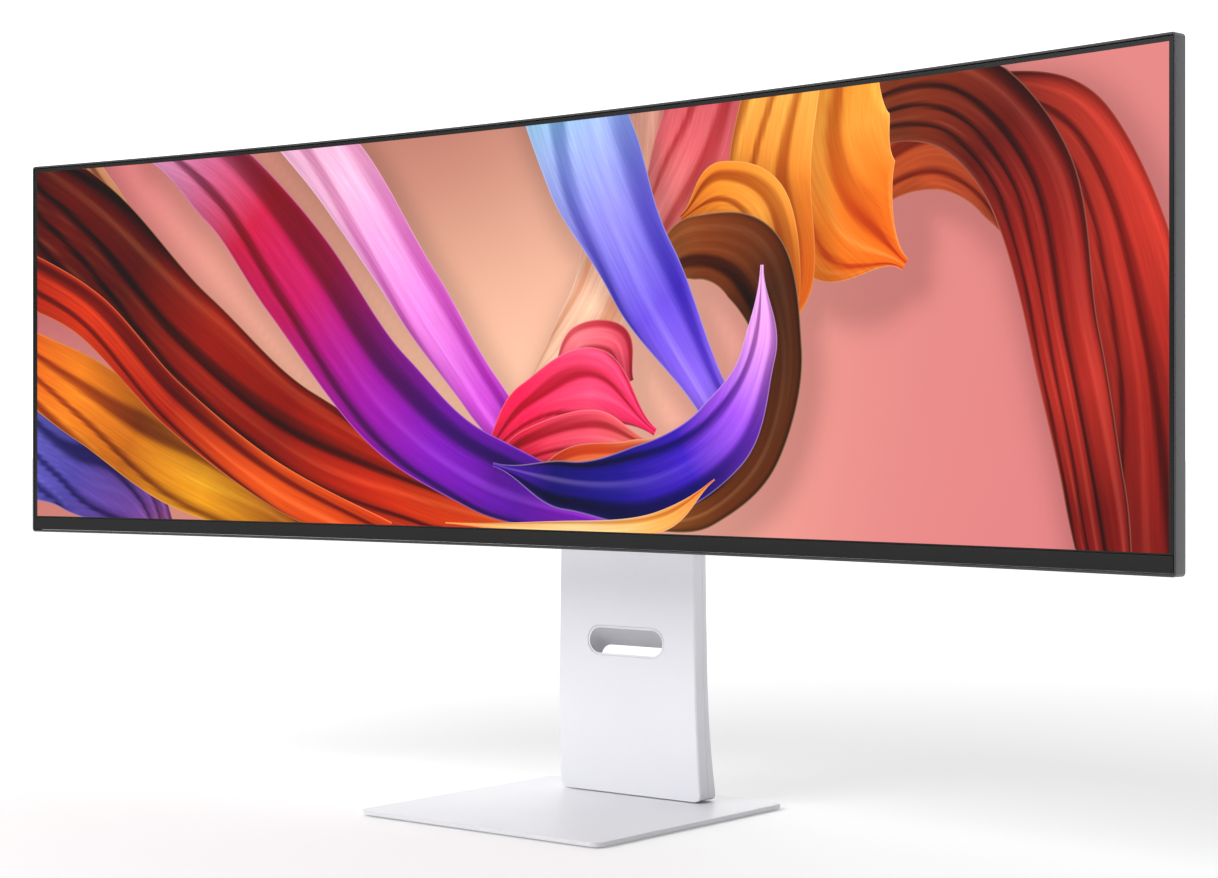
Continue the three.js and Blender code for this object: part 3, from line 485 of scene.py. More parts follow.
def filleted(profile: Sequence[Triple]) -> Array:
    """Rounds the corners of a closed profile.

    Each corner gives way to the quadratic curve between the points its rounding length
    before and after it, with the corner as the middle control point.

    Args:
        profile: Corner points with a rounding length each.

    Returns:
        Rows of two, once round the profile.
    """
    corners = np.array([point[:2] for point in profile])
    rounding = np.array([point[2] for point in profile])
    before = np.roll(corners, 1, axis=0) - corners
    after = np.roll(corners, -1, axis=0) - corners
    before /= np.linalg.norm(before, axis=1, keepdims=True)
    after /= np.linalg.norm(after, axis=1, keepdims=True)
    t = np.linspace(0, 1, FILLET_STEPS + 1)[None, :, None]
    start = (corners + before * rounding[:, None])[:, None]
    end = (corners + after * rounding[:, None])[:, None]
    middle = corners[:, None]
    return ((1 - t) ** 2 * start + 2 * t * (1 - t) * middle + t**2 * end).reshape(-1, 2)


def merged_copy(node: str, bevel_mm: float) -> Piece:
    """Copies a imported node, merges its loose triangles and rounds its sharp edges.

    Args:
        node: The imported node.
        bevel_mm: Width of the rounding, or nothing.

    Returns:
        The new piece.
    """
    name = f"{node}_piece"
    mesh = frame["nodes"][node].data.copy()
    mesh.name = name
    mesh.materials.clear()
    work = bmesh.new()
    work.from_mesh(mesh)
    bmesh.ops.remove_doubles(work, verts=work.verts, dist=WELD)
    bmesh.ops.dissolve_limit(
        work, angle_limit=math.radians(FLAT_DEGREES), use_dissolve_boundaries=False,
        verts=work.verts, edges=work.edges, delimit=set(),
    )
    work.to_mesh(mesh)
    work.free()
    piece = linked(name, mesh)
    sharpen(piece)
    if bevel_mm:
        bevel = piece.modifiers.new("rounded_edges", "BEVEL")
        bevel.width = bevel_mm * MM
        bevel.segments = 2
        bevel.limit_method = "ANGLE"
        bevel.angle_limit = math.radians(SHARP_DEGREES)
        bevel.use_clamp_overlap = True
        bevel.harden_normals = True
    return piece


def dress(piece: Piece, node: str, slot: Slot, body: str) -> None:
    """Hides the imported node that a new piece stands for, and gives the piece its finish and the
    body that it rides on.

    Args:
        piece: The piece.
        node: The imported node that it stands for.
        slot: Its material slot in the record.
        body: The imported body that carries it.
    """
    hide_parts(node)
    piece.data.materials.clear()
    piece.data.materials.append(FINISHES[slot].material())
    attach(piece, body)
    LOG.info("%s: %d faces on %s", piece.name, len(piece.data.polygons), body)


# ---- screen


@dataclass
class CurvedScreen:
    """The curved front: frame, panel, strip under the picture and the picture.

    Attributes:
        radius: Radius of the picture surface.
        picture: Width along the arc and height of the picture.
        lip: Width of the frame's front lip.
        depth: Depth of the frame's side wall.
        corner: Radius of the frame's corners.
        glass_depth: Depth of the panel's front behind the lip.
        panel_back: Depth of the panel's back.
        steps: Steps along the arc and up the height.
    """

    radius: float = 3.8
    picture: Pair = (1.1919, 0.3352)
    lip: float = 1.7 * MM
    depth: float = 10.9 * MM
    corner: float = 3.0 * MM
    glass_depth: float = 0.6 * MM
    panel_back: float = 2.0 * MM
    steps: tuple[int, int] = (160, 48)
    low: float = field(init=False)
    high: float = field(init=False)
    front: float = field(init=False)
    half_arc: float = field(init=False)

    def __post_init__(self) -> None:
        """Reads the frame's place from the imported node."""
        lowest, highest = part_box("front_frame")
        self.low, self.high = lowest.z, highest.z
        self.half_arc = self.radius * math.asin(highest.x / (self.radius + self.depth))
        self.front = highest.y - self.depth

    def at(self, s: Array, depth: Array, z: Array) -> Array:
        """Places points on the curve.

        Args:
            s: Arc lengths from the middle.
            depth: Depths behind the front.
            z: Heights.

        Returns:
            Rows of x, y, z.
        """
        angle, reach = s / self.radius, self.radius + depth
        x, y = reach * np.sin(angle), self.front - self.radius + reach * np.cos(angle)
        return np.stack([x, y, z + 0 * x], axis=-1).reshape(-1, 3)

    def band(self) -> None:
        """Carries the frame's profile round its outline.

        The profile's first number is the distance in from the outside, and its second
        the depth behind the front.
        """
        lip, back = self.lip, self.depth
        profile = filleted([
            (0, 0, 0.35 * MM), (lip, 0, 0.25 * MM), (lip, back, 0.1 * MM), (0, back, 0.5 * MM)
        ])
        half = (self.half_arc, (self.high - self.low) / 2)
        centres, directions = round_path(half, self.corner, self.steps, 8)
        reach = self.corner - profile[:, 0]
        flat = centres[:, None] + directions[:, None] * reach[None, :, None]
        depth = np.broadcast_to(profile[None, :, 1], flat.shape[:2])
        points = self.at(flat[..., 0], depth, flat[..., 1] + (self.low + self.high) / 2)
        faces = grid_faces(len(centres), len(profile), close_rows=True, close_columns=True)
        piece = outward(surface("frame_band", points, faces))
        sharpen(piece, BAND_SHARP_DEGREES)
        dress(piece, "front_frame", Slot.FRAME, "head")
        # The profile starts and ends on the outer wall, which takes the lighter copy of the finish
        # with painted sheen.
        piece.data.materials.append(SIDE_SHEEN_FINISH.material())
        lane = np.arange(len(profile))
        on_side = np.tile((lane >= len(profile) - 3) | (lane < 2), len(centres))
        piece.data.polygons.foreach_set("material_index", on_side.astype(np.int32))

    def slab(self, node: str, name: str, front: float, edge: float, slot: Slot) -> None:
        """Makes a curved slab by carrying its profile along the arc.

        Args:
            node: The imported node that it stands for, which gives its width and heights.
            name: The piece's name.
            front: Depth of its front.
            edge: Rounding of its four long edges.
            slot: Its material slot.
        """
        lowest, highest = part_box(node)
        low, high, back = lowest.z, highest.z, self.panel_back
        half = self.radius * math.asin(highest.x / (self.radius + back))
        profile = filleted([
            (front, low, edge), (back, low, edge), (back, high, edge), (front, high, edge)
        ])
        arc, around = np.linspace(-half, half, self.steps[0] + 1), len(profile)
        depth, z = (np.tile(profile[:, k], len(arc)) for k in range(2))
        points = self.at(np.repeat(arc, around), depth, z)
        sides = grid_faces(len(arc), around, close_columns=True).tolist()
        ends = [list(range(around)), list(range(len(points) - around, len(points)))]
        piece = outward(surface(name, points, sides + ends))
        sharpen(piece, SLAB_SHARP_DEGREES)
        dress(piece, node, slot, "head")

    def build(self) -> None:
        """Builds and dresses the frame, the panel, the strip under it and the picture."""
        self.band()
        self.slab("lcd_panel", "panel_laminate", self.glass_depth, 0.2 * MM, Slot.GLASS)
        self.slab("bottom_bezel", "lower_strip", 0.1 * MM, 0.3 * MM, Slot.BEZEL)
        Wallpaper(self).build()


@dataclass(frozen=True)
class Ribbon:
    """A satin ribbon in the picture, in units of the picture's height.

    Attributes:
        path: Points that its middle line passes, from the picture's lower left corner.
        widths: Its widths, evenly spaced along it.
        dyes: Its colours along its length, with spaces between them.
        folds: How many soft folds lie across it.
        depth: How dark the hollows of its folds are.
        turn: How far the folds drift across along the ribbon.
        gloss: Colour of its highlights and its lit edge.
        shine: How strong the highlights are.
    """

    path: tuple[Pair, ...]
    widths: tuple[float, ...]
    dyes: str
    folds: float
    depth: float
    turn: float
    gloss: str
    shine: float


RIBBONS: tuple[Ribbon, ...] = (
    Ribbon(((2.12, 1.06), (2.1, 0.8), (1.98, 0.52), (1.74, 0.28)), (0.3, 0.26, 0.18, 0.06),
        "c98a7c eda98f f6c2a4 f6c2a4", 1.5, 0.14, 0.5, "ffe2cc", 0.3),
    Ribbon(((2.36, 1.1), (2.3, 0.9), (2.14, 0.66)), (0.26, 0.25, 0.12), "c4505a dd5f66 d98078", 2,
        0.25, 0.4, "f4a0a0", 0.3),
    Ribbon(((2.7, 0.6), (2.8, 0.76), (2.98, 0.83), (3.14, 0.74), (3.22, 0.58)),
        (0.03, 0.1, 0.15, 0.12, 0.02), "a03a16 c8501f bc4622 7a2410", 1.6, 0.5, 0.3, "f0a070", 0.5),
    Ribbon(((3.02, 0.98), (3.34, 0.82), (3.5, 0.4), (3.54, -0.1)), (0.08, 0.2, 0.24, 0.3),
        "6a1a12 a82c1e bc2c20 9a1c14 7a100c", 3.2, 0.6, 0.5, "e87a60", 0.5),
    Ribbon(((2.64, 0.78), (2.78, 0.93), (3.02, 0.95), (3.22, 0.76), (3.31, 0.42), (3.38, 0.12),
        (3.42, -0.1)), (0.07, 0.17, 0.22, 0.22, 0.17, 0.15, 0.12),
        "5a200c 94401c 7a280e 600f08 901812 a8241a 760f0a 7a100c", 3.4, 0.75, 0.4, "e8907a", 0.6),
    Ribbon(((2.68, 1.1), (2.66, 0.9), (2.74, 0.72), (2.9, 0.6)), (0.3, 0.4, 0.34, 0.03),
        "f59428 f99a34 f0781a ec600c", 2.6, 0.35, 0.5, "ffe0a0", 0.55),
    Ribbon(((2.56, 1.04), (2.52, 0.82), (2.56, 0.6), (2.47, 0.4)), (0.22, 0.24, 0.18, 0.04),
        "f7aa48 f08a2a ee6a12 e65c0c", 2.2, 0.45, 0.6, "ffd080", 0.6),
    Ribbon(((2.26, 0.74), (2.38, 0.8), (2.5, 0.74), (2.54, 0.56), (2.48, 0.44)),
        (0.02, 0.13, 0.16, 0.14, 0.06), "c4560e f08a24 f59a38 e0640e c24c08", 1.8, 0.5, 0.4,
        "ffcb7c", 0.6),
    Ribbon(((-0.06, 0.24), (0.16, 0.16), (0.38, 0.04), (0.5, -0.08)), (0.36, 0.3, 0.2, 0.12),
        "5a55b4 4b3f9a 6a3f96 93416e", 3.0, 0.5, 1.1, "a8a0f0", 0.5),
    Ribbon(((-0.08, 0.46), (0.2, 0.33), (0.5, 0.18), (0.86, 0.04), (1.1, -0.06)),
        (0.2, 0.24, 0.26, 0.2, 0.14), "d8520e ea7a16 b9600a e39414 a85808 c4680a", 2.4, 0.6, 0.9,
        "ffc860", 0.6),
    Ribbon(((0.1, 1.08), (0.26, 0.92), (0.46, 0.7), (0.62, 0.48)), (0.14, 0.1, 0.05, 0.02),
        "b0705a e09a66 f0b078", 2, 0.45, 0.6, "ffe0b0", 0.5),
    Ribbon(((0.96, 1.1), (1.16, 0.9), (1.4, 0.6), (1.62, 0.34), (1.84, 0.12)),
        (0.2, 0.2, 0.17, 0.13, 0.08), "e6acc8 f4b4d8 ee86dc cc48d0 a01cb4", 1.2, 0.3, 0.6, "fdeafc",
        0.5),
    Ribbon(((-0.12, 0.98), (0.2, 0.78), (0.56, 0.48), (0.98, 0.22), (1.44, 0.07), (1.9, -0.02)),
        (0.34, 0.36, 0.34, 0.28, 0.2, 0.1),
        "380201 580502 4c0402 8c1003 820c02 bc2004 de3c08 ef6010", 3.4, 0.82, 0.7, "f7a468", 0.6),
    Ribbon(((-0.12, 0.72), (0.2, 0.58), (0.52, 0.32), (0.9, 0.1), (1.3, -0.04)),
        (0.16, 0.14, 0.13, 0.12, 0.1), "8c0e04 c82c08 a01804 dc4c0e c83406", 1.6, 0.7, 0.6,
        "ffb070", 0.7),
    Ribbon(((1.86, 0.36), (1.94, 0.46), (2.06, 0.46), (2.1, 0.36)), (0.03, 0.08, 0.08, 0.03),
        "e05060 ff7a84 f05068 c82848", 1.2, 0.4, 0.4, "ffc0c0", 0.5),
    Ribbon(((1.62, 0.16), (1.78, 0.3), (1.98, 0.35), (2.18, 0.24)), (0.03, 0.13, 0.19, 0.02),
        "d01038 f41c50 ff4470 f2185a", 2.4, 0.55, 0.8, "ffb0bc", 0.55),
    Ribbon(((1.6, 0.1), (1.78, 0.2), (1.98, 0.24), (2.16, 0.2)), (0.04, 0.1, 0.11, 0.04),
        "b8102c d81c3c f4506a f07060", 1.8, 0.5, 0.5, "ffb8b0", 0.5),
    Ribbon(((1.74, 0.08), (1.92, 0.16), (2.1, 0.18), (2.2, 0.22)), (0.04, 0.09, 0.08, 0.03),
        "e04a24 f4703a f8a078", 1.4, 0.35, 0.5, "ffd8b8", 0.5),
    Ribbon(((0.46, 1.06), (0.72, 0.92), (0.98, 0.66), (1.28, 0.34), (1.62, 0.14), (2.1, 0.03)),
        (0.12, 0.24, 0.28, 0.26, 0.2, 0.1),
        "cc88b0 c45c84 c4123e bc0a5a 980a98 7a0eb0 580ca0 9a10d0", 1.5, 0.6, 0.5, "ec9cf4", 0.45),
    Ribbon(((2.14, 0.6), (2.3, 0.67), (2.47, 0.62), (2.55, 0.42), (2.5, 0.2), (2.34, 0.06),
        (2.1, 0.01)), (0.04, 0.15, 0.2, 0.13, 0.11, 0.08, 0.02),
        "a8602a 7a340c 481c04 5a2606 6e300a 9a5820", 1.0, 0.6, 0.2, "f4c696", 0.55),
    Ribbon(((1.9, 1.1), (1.98, 0.9), (2.14, 0.62), (2.38, 0.28)), (0.32, 0.3, 0.22, 0.1),
        "8cc8dc a0b4ee 8f88ea 6a4cdc 8f66ee", 1.2, 0.35, 0.5, "d4e0ff", 0.5),
    Ribbon(((2.5, 0.62), (2.49, 0.42), (2.38, 0.23), (2.16, 0.12), (1.9, 0.11), (1.66, 0.16)),
        (0.01, 0.1, 0.18, 0.19, 0.12, 0.01), "fab4f4 e698ee a050ea 3a16b8 180a84 100664 48109c",
        1.3, 0.6, 0.4, "f4d4ff", 0.55),
    Ribbon(((2.36, 0.13), (2.2, 0.03), (1.94, 0.0), (1.5, 0.01)), (0.004, 0.05, 0.05, 0.004),
        "e67a28 f6a850 f7c98a f08a30", 1.0, 0.3, 0.3, "ffe8c0", 0.4),
)


# Glows of the background: colour, place in picture heights, spread and power.
HAZE = (
    ("ffcfae", 1.65, 0.3, 0.5, 3.0), ("f4a98a", 1.3, 0.7, 0.5, 0.8),
    ("dd8480", 3.0, 0.6, 0.8, 1.2), ("cc6c76", 3.1, -0.15, 0.6, 1.3),
    ("984844", 1.45, 1.1, 0.32, 4.5), ("e08a84", 0.75, 0.6, 0.4, 0.8),
    ("c9566a", 0.3, 1.0, 0.4, 0.6), ("e88c84", 2.65, 0.25, 0.5, 0.8),
    ("d0605c", 0.9, -0.1, 0.35, 0.7),
)


class Layer(NamedTuple):
    """One layer of the picture, as a mesh.

    Attributes:
        points: Places in the room.
        faces: Corners of each quad.
        colours: Linear colours of the points.
        cloth: Distances along the ribbon and across it.
        flat: Places in the picture, in picture heights.
    """

    points: Array
    faces: Array
    colours: Array
    cloth: Array
    flat: Array


@dataclass
class Wallpaper:
    """An abstract picture of satin ribbons in front of a warm haze.

    The rim and the lengths of a shadow are in picture heights.

    Attributes:
        screen: The screen that shows it.
        border: Width of the black border above it.
        along: Steps along a ribbon.
        across: Steps across a ribbon.
        haze_points: Points along the haze and up it.
        layer: Distance between one ribbon and the next.
        rim: Width of a ribbon's lit edge.
        rim_shine: How much of the gloss the lit edge takes.
        shade_steps: Steps along a ribbon that throws a shadow.
        shade_dark: How much light a shadow takes.
        shade_reach: How far a shadow spreads.
        shade_shift: How far a shadow lies from its ribbon.
    """

    screen: CurvedScreen
    border: float = 5.8 * MM
    along: int = 110
    across: int = 34
    haze_points: tuple[int, int] = (181, 49)
    layer: float = 0.008 * MM
    rim: float = 0.004
    rim_shine: float = 0.3
    shade_steps: int = 48
    shade_dark: float = 0.3
    shade_reach: float = 0.05
    shade_shift: Pair = (0.022, -0.03)

    def place(self, u: Array, v: Array, depth: float) -> Array:
        """Places picture coordinates on the screen, cut off at the picture's edges.

        Args:
            u: Distances from the left edge, in picture heights.
            v: Distances from the lower edge, in picture heights.
            depth: Depth behind the frame's front.

        Returns:
            Rows of x, y, z.
        """
        wide, tall = self.screen.picture
        low = self.screen.high - self.border - tall
        s = np.clip(u * tall, 0, wide) - wide / 2
        return self.screen.at(s, np.full_like(s, depth), low + np.clip(v, 0, 1) * tall)

    @staticmethod
    def ramp(dyes: str, t: Array) -> Array:
        """Blends colours along a ribbon: linear between evenly spaced stops.

        Args:
            dyes: The stops, with spaces between them.
            t: Places along it, from zero to one.

        Returns:
            Linear colours, one row for each place.
        """
        stops = np.array([linear(dye)[:3] for dye in dyes.split()])
        at = np.linspace(0, 1, len(stops))
        return np.stack([np.interp(t, at, stops[:, k]) for k in range(3)], axis=-1)

    @staticmethod
    def spline(path: Sequence[Pair], t: Array) -> Array:
        """Draws a smooth line through points.

        Between two points it is the Catmull-Rom cubic, whose slope at a point is half
        the way from its last neighbour to its next.

        Args:
            path: The points.
            t: Places along it, from zero to one.

        Returns:
            Rows of two.
        """
        points = np.array(path, float)
        points = np.vstack([2 * points[0] - points[1], points, 2 * points[-1] - points[-2]])
        spans = len(path) - 1
        k = np.minimum((t * spans).astype(int), spans - 1)
        f = (t * spans - k)[:, None]
        a, b, c, d = (points[k + n] for n in range(4))
        square, cube = 2 * a - 5 * b + 4 * c - d, 3 * b - a - 3 * c + d
        return 0.5 * (2 * b + (c - a) * f + square * f**2 + cube * f**3)

    @staticmethod
    def ease(low: float, high: float, value: Array) -> Array:
        """Rises smoothly from zero at low to one at high.

        Args:
            low: Where it starts.
            high: Where it ends.
            value: The values.

        Returns:
            The eased values.
        """
        t = np.clip((value - low) / (high - low), 0, 1)
        return t * t * (3 - 2 * t)

    def line(self, shape: Ribbon, steps: int) -> tuple[Array, Array, Array]:
        """Works out a ribbon's middle line, its normals and its widths.

        Args:
            shape: The ribbon.
            steps: Steps along it.

        Returns:
            Points, unit normals and widths.
        """
        t = np.linspace(0, 1, steps + 1)
        middle = self.spline(shape.path, t)
        slope = np.gradient(middle, axis=0)
        slope /= np.linalg.norm(slope, axis=1, keepdims=True)
        normal = np.stack([-slope[:, 1], slope[:, 0]], axis=1)
        widths = np.array(shape.widths)
        spans = len(widths) - 1
        k = np.minimum((t * spans).astype(int), spans - 1)
        wave = 0.5 - 0.5 * np.cos(math.pi * (t * spans - k))
        return middle, normal, widths[k] * (1 - wave) + widths[k + 1] * wave

    def satin(self, shape: Ribbon, t: Array, lanes: Array) -> Array:
        """Works out a ribbon's colours.

        The slope of the cloth across the ribbon is a sum of three sines whose phases
        drift along it. Slopes away from the light take a deeper dye, which is the dye
        to the power 1.5 times a darkness. Slopes towards it take a brighter dye with a
        little of the gloss.

        Args:
            shape: The ribbon.
            t: Places along it, as a column.
            lanes: Places across it, one row for each place along it.

        Returns:
            Linear colours.
        """
        drift = shape.turn * 2 * math.pi * t
        phase = shape.folds * math.pi * (lanes + 0.22 * np.sin(2.4 * lanes + drift)) + 0.9 * drift
        slope = np.sin(phase) + 0.5 * np.sin(2.1 * phase + 1.1 + 2 * t)
        slope = slope + 0.26 * np.sin(4.3 * phase + 2.2 - 3 * t)
        lit = 0.5 + 0.5 * slope / 1.5
        dye = self.ramp(shape.dyes, np.broadcast_to(t, lanes.shape))
        deep = dye**1.5 * (1 - shape.depth)
        colour = deep + (dye - deep) * self.ease(0.0, 0.55, lit)[..., None]
        gloss = np.clip(1.6 * dye + 0.14 * np.array(linear(shape.gloss)[:3]), 0, 1)
        sheen = (shape.shine * self.ease(0.62, 1.05, lit) ** 1.4)[..., None]
        curl = (1 - 0.22 * self.ease(0.55, 1.0, -lanes))[..., None]
        return (colour + (gloss - colour) * sheen) * curl

    def ribbon(self, shape: Ribbon, depth: float) -> Layer:
        """Works out one ribbon: a strip about its middle line, with lit outermost lanes.

        A point is the middle line plus its normal times the place across times half the
        width.

        Args:
            shape: The ribbon.
            depth: Depth behind the frame's front.

        Returns:
            The ribbon, without the quads that lie outside the picture.
        """
        t = np.linspace(0, 1, self.along + 1)[:, None]
        middle, normal, width = self.line(shape, self.along)
        lanes = np.tile(np.linspace(-1, 1, self.across + 1), (len(t), 1))
        edge = 1 - 2 * self.rim / np.maximum(width, 3 * self.rim)
        lanes[:, 1], lanes[:, -2] = -edge, edge
        flat = middle[:, None] + normal[:, None] * (lanes * width[:, None] / 2)[..., None]
        colour = self.satin(shape, t, lanes)
        rim = (self.rim_shine * (np.abs(lanes) > 0.999))[..., None]
        colour += (np.array(linear(shape.gloss)[:3]) - colour) * rim
        step = np.linalg.norm(np.diff(middle, axis=0), axis=1)
        length = np.concatenate([[0], np.cumsum(step)])[:, None]
        cloth = np.stack([length + 0 * lanes, lanes * width[:, None]], axis=-1)
        u, v = flat[..., 0].ravel(), flat[..., 1].ravel()
        faces = grid_faces(len(t), self.across + 1)
        wide = self.screen.picture[0] / self.screen.picture[1]
        off = np.stack([u < 0, u > wide, v < 0, v > 1])
        faces = faces[~off[:, faces].all(axis=2).any(axis=0)]
        return Layer(self.place(u, v, depth), faces, colour.reshape(-1, 3),
                     cloth.reshape(-1, 2), flat.reshape(-1, 2))

    def shade(self, flat: Array, above: Sequence[Ribbon]) -> Array:
        """Works out the soft shadow that the ribbons in front throw on a layer.

        A shadow falls off as a bell of the distance outside its moved ribbon's edge.

        Args:
            flat: The layer's picture coordinates.
            above: The ribbons in front of it.

        Returns:
            How much light is left, for each point.
        """
        left = np.ones(len(flat))
        for shape in above:
            middle, _, width = self.line(shape, self.shade_steps)
            moved = middle + np.array(self.shade_shift)
            reach = np.linalg.norm(flat[:, None] - moved[None], axis=2) - width[None] / 2
            outside = np.maximum(reach.min(axis=1), 0) / self.shade_reach
            left = np.minimum(left, 1 - self.shade_dark * np.exp(-(outside**2)))
        return left

    def haze(self, depth: float) -> Layer:
        """Works out the background: warm light that falls off from a bright middle.

        Its colour is the mean of the HAZE glows, each weighted by a bell of the distance
        from its centre.

        Args:
            depth: Depth behind the frame's front.

        Returns:
            The background.
        """
        columns, rows = self.haze_points
        wide = self.screen.picture[0] / self.screen.picture[1]
        along, up = np.linspace(0, wide, columns), np.linspace(0, 1, rows)
        u, v = np.meshgrid(along, up, indexing="ij")
        total, weight = np.zeros((*u.shape, 3)), np.zeros(u.shape)
        for dye, x, y, spread, power in HAZE:
            bell = power * np.exp(-((u - x) ** 2 + (v - y) ** 2) / (2 * spread**2)) + 1e-6
            total += bell[..., None] * np.array(linear(dye)[:3])
            weight += bell
        colours = (total / weight[..., None]).reshape(-1, 3)
        u, v = u.ravel(), v.ravel()
        # Short distances on the cloth, so that the streaks hardly show.
        cloth = np.stack([u * 0.02, v * 0.002], axis=1)
        faces = grid_faces(columns, rows)
        return Layer(self.place(u, v, depth), faces, colours, cloth, np.stack([u, v], axis=1))

    def build(self) -> None:
        """Builds the picture as one piece, each ribbon a little in front of the last."""
        depth = self.screen.glass_depth - 0.02 * MM
        parts = [self.haze(depth)]
        for shape in RIBBONS:
            depth -= self.layer
            parts.append(self.ribbon(shape, depth))
        light = np.concatenate([self.shade(p.flat, RIBBONS[k:]) for k, p in enumerate(parts)])
        starts = np.cumsum([0] + [len(part.points) for part in parts[:-1]])
        parts = [part._replace(faces=part.faces + start) for part, start in zip(parts, starts)]
        whole = Layer(*map(np.concatenate, zip(*parts)))
        piece = surface("picture", whole.points, whole.faces)
        colours = np.c_[whole.colours * light[:, None], np.ones(len(light))]
        mesh = piece.data
        dye = mesh.color_attributes.new("dye", "FLOAT_COLOR", "POINT")
        dye.data.foreach_set("color", colours.astype(np.float32).ravel())
        corners = np.empty(len(mesh.loops), int)
        mesh.loops.foreach_get("vertex_index", corners)
        layer = mesh.uv_layers.new(name="cloth")
        layer.data.foreach_set("uv", whole.cloth[corners].astype(np.float32).ravel())
        self.face_viewer(piece)
        mesh.materials.append(LitPicture().material())
        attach(piece, "head")
        LOG.info("%s: %d faces", piece.name, len(mesh.polygons))

    @staticmethod
    def face_viewer(piece: Piece) -> None:
        """Turns every face of the picture towards the viewer.

        Args:
            piece: The picture.
        """
        work = bmesh.new()
        work.from_mesh(piece.data)
        work.normal_update()
        bmesh.ops.reverse_faces(work, faces=[face for face in work.faces if face.normal.y > 0])
        bmesh.ops.dissolve_degenerate(work, edges=work.edges, dist=FINE_WELD)
        work.to_mesh(piece.data)
        work.free()


# ---- stand


@dataclass
class Base:
    """The thin steel plate that the stand is built on.

    Attributes:
        corner: Radius of the plate's corners.
        edge: Rounding of its rims.
    """

    corner: float = 10 * MM
    edge: float = 0.4 * MM

    def build(self) -> None:
        """Carries a rounded rim round the outline and closes it with two flat faces."""
        lowest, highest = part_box("base_plate")
        half = ((highest.x - lowest.x) / 2, (highest.y - lowest.y) / 2)
        centres, directions = round_path(half, self.corner, (2, 2), 16)
        t = np.linspace(0, math.pi / 2, 6)
        low_rim = self.edge * np.stack([1 - np.sin(t), 1 - np.cos(t)], axis=1)
        high_rim = low_rim[::-1] * (1, -1) + (0, highest.z - lowest.z)
        rim = np.concatenate([low_rim, high_rim])
        reach = (self.corner - rim[:, 0])[None, :, None]
        flat = centres[:, None] + directions[:, None] * reach
        z = np.broadcast_to(lowest.z + rim[None, :, 1], flat.shape[:2])
        points = np.concatenate([flat, z[..., None]], axis=-1).reshape(-1, 3)
        around = len(centres)
        sides = grid_faces(around, len(rim), close_rows=True).tolist()
        bottom, top = ([k * len(rim) + lane for k in range(around)] for lane in (0, len(rim) - 1))
        piece = outward(surface("steel_base", points, [*sides, bottom, top]))
        sharpen(piece, SLAB_SHARP_DEGREES)
        dress(piece, "base_plate", Slot.PAINT, "base")


@dataclass
class LiftSprings:
    """The two coil springs on the guide rods, which shorten as the screen comes down.

    Attributes:
        wire: Radius of the wire.
        turns: Number of turns.
        steps: Steps in a turn.
        sides: Sides of the wire.
        clear: Gap between the wire's middle and the ends, in its radii.
    """

    wire: float = 0.55 * MM
    turns: int = 34
    steps: int = 16
    sides: int = 6
    clear: float = 1.2

    def coil(self, side: str) -> None:
        """Sweeps the wire along a helix on its rod.

        Args:
            side: Which rod.
        """
        node = f"lift_spring_{side}"
        lowest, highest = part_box(node)
        cx, cy = (lowest.x + highest.x) / 2, (lowest.y + highest.y) / 2
        radius = (highest.x - lowest.x) / 2 - self.wire
        turn = np.linspace(0, 2 * math.pi * self.turns, self.turns * self.steps + 1)[:, None]
        low, high = lowest.z + self.wire * self.clear, highest.z - self.wire * self.clear
        rise = low + (high - low) * turn / turn[-1]
        round_wire = np.linspace(0, 2 * math.pi, self.sides, endpoint=False)[None]
        reach = radius + self.wire * np.cos(round_wire)
        z = rise + self.wire * np.sin(round_wire)
        x, y = cx + reach * np.cos(turn), cy + reach * np.sin(turn)
        points = np.stack([x, y, z], axis=-1).reshape(-1, 3)
        sides = grid_faces(len(turn), self.sides, close_columns=True).tolist()
        ends = [list(range(self.sides)), list(range(len(points) - self.sides, len(points)))]
        piece = outward(surface(f"coil_spring_{side}", points, sides + ends))
        dress(piece, node, Slot.SPRING, "column")
        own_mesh(piece)

    def build(self) -> None:
        """Builds both springs."""
        for side in ("left", "right"):
            self.coil(side)


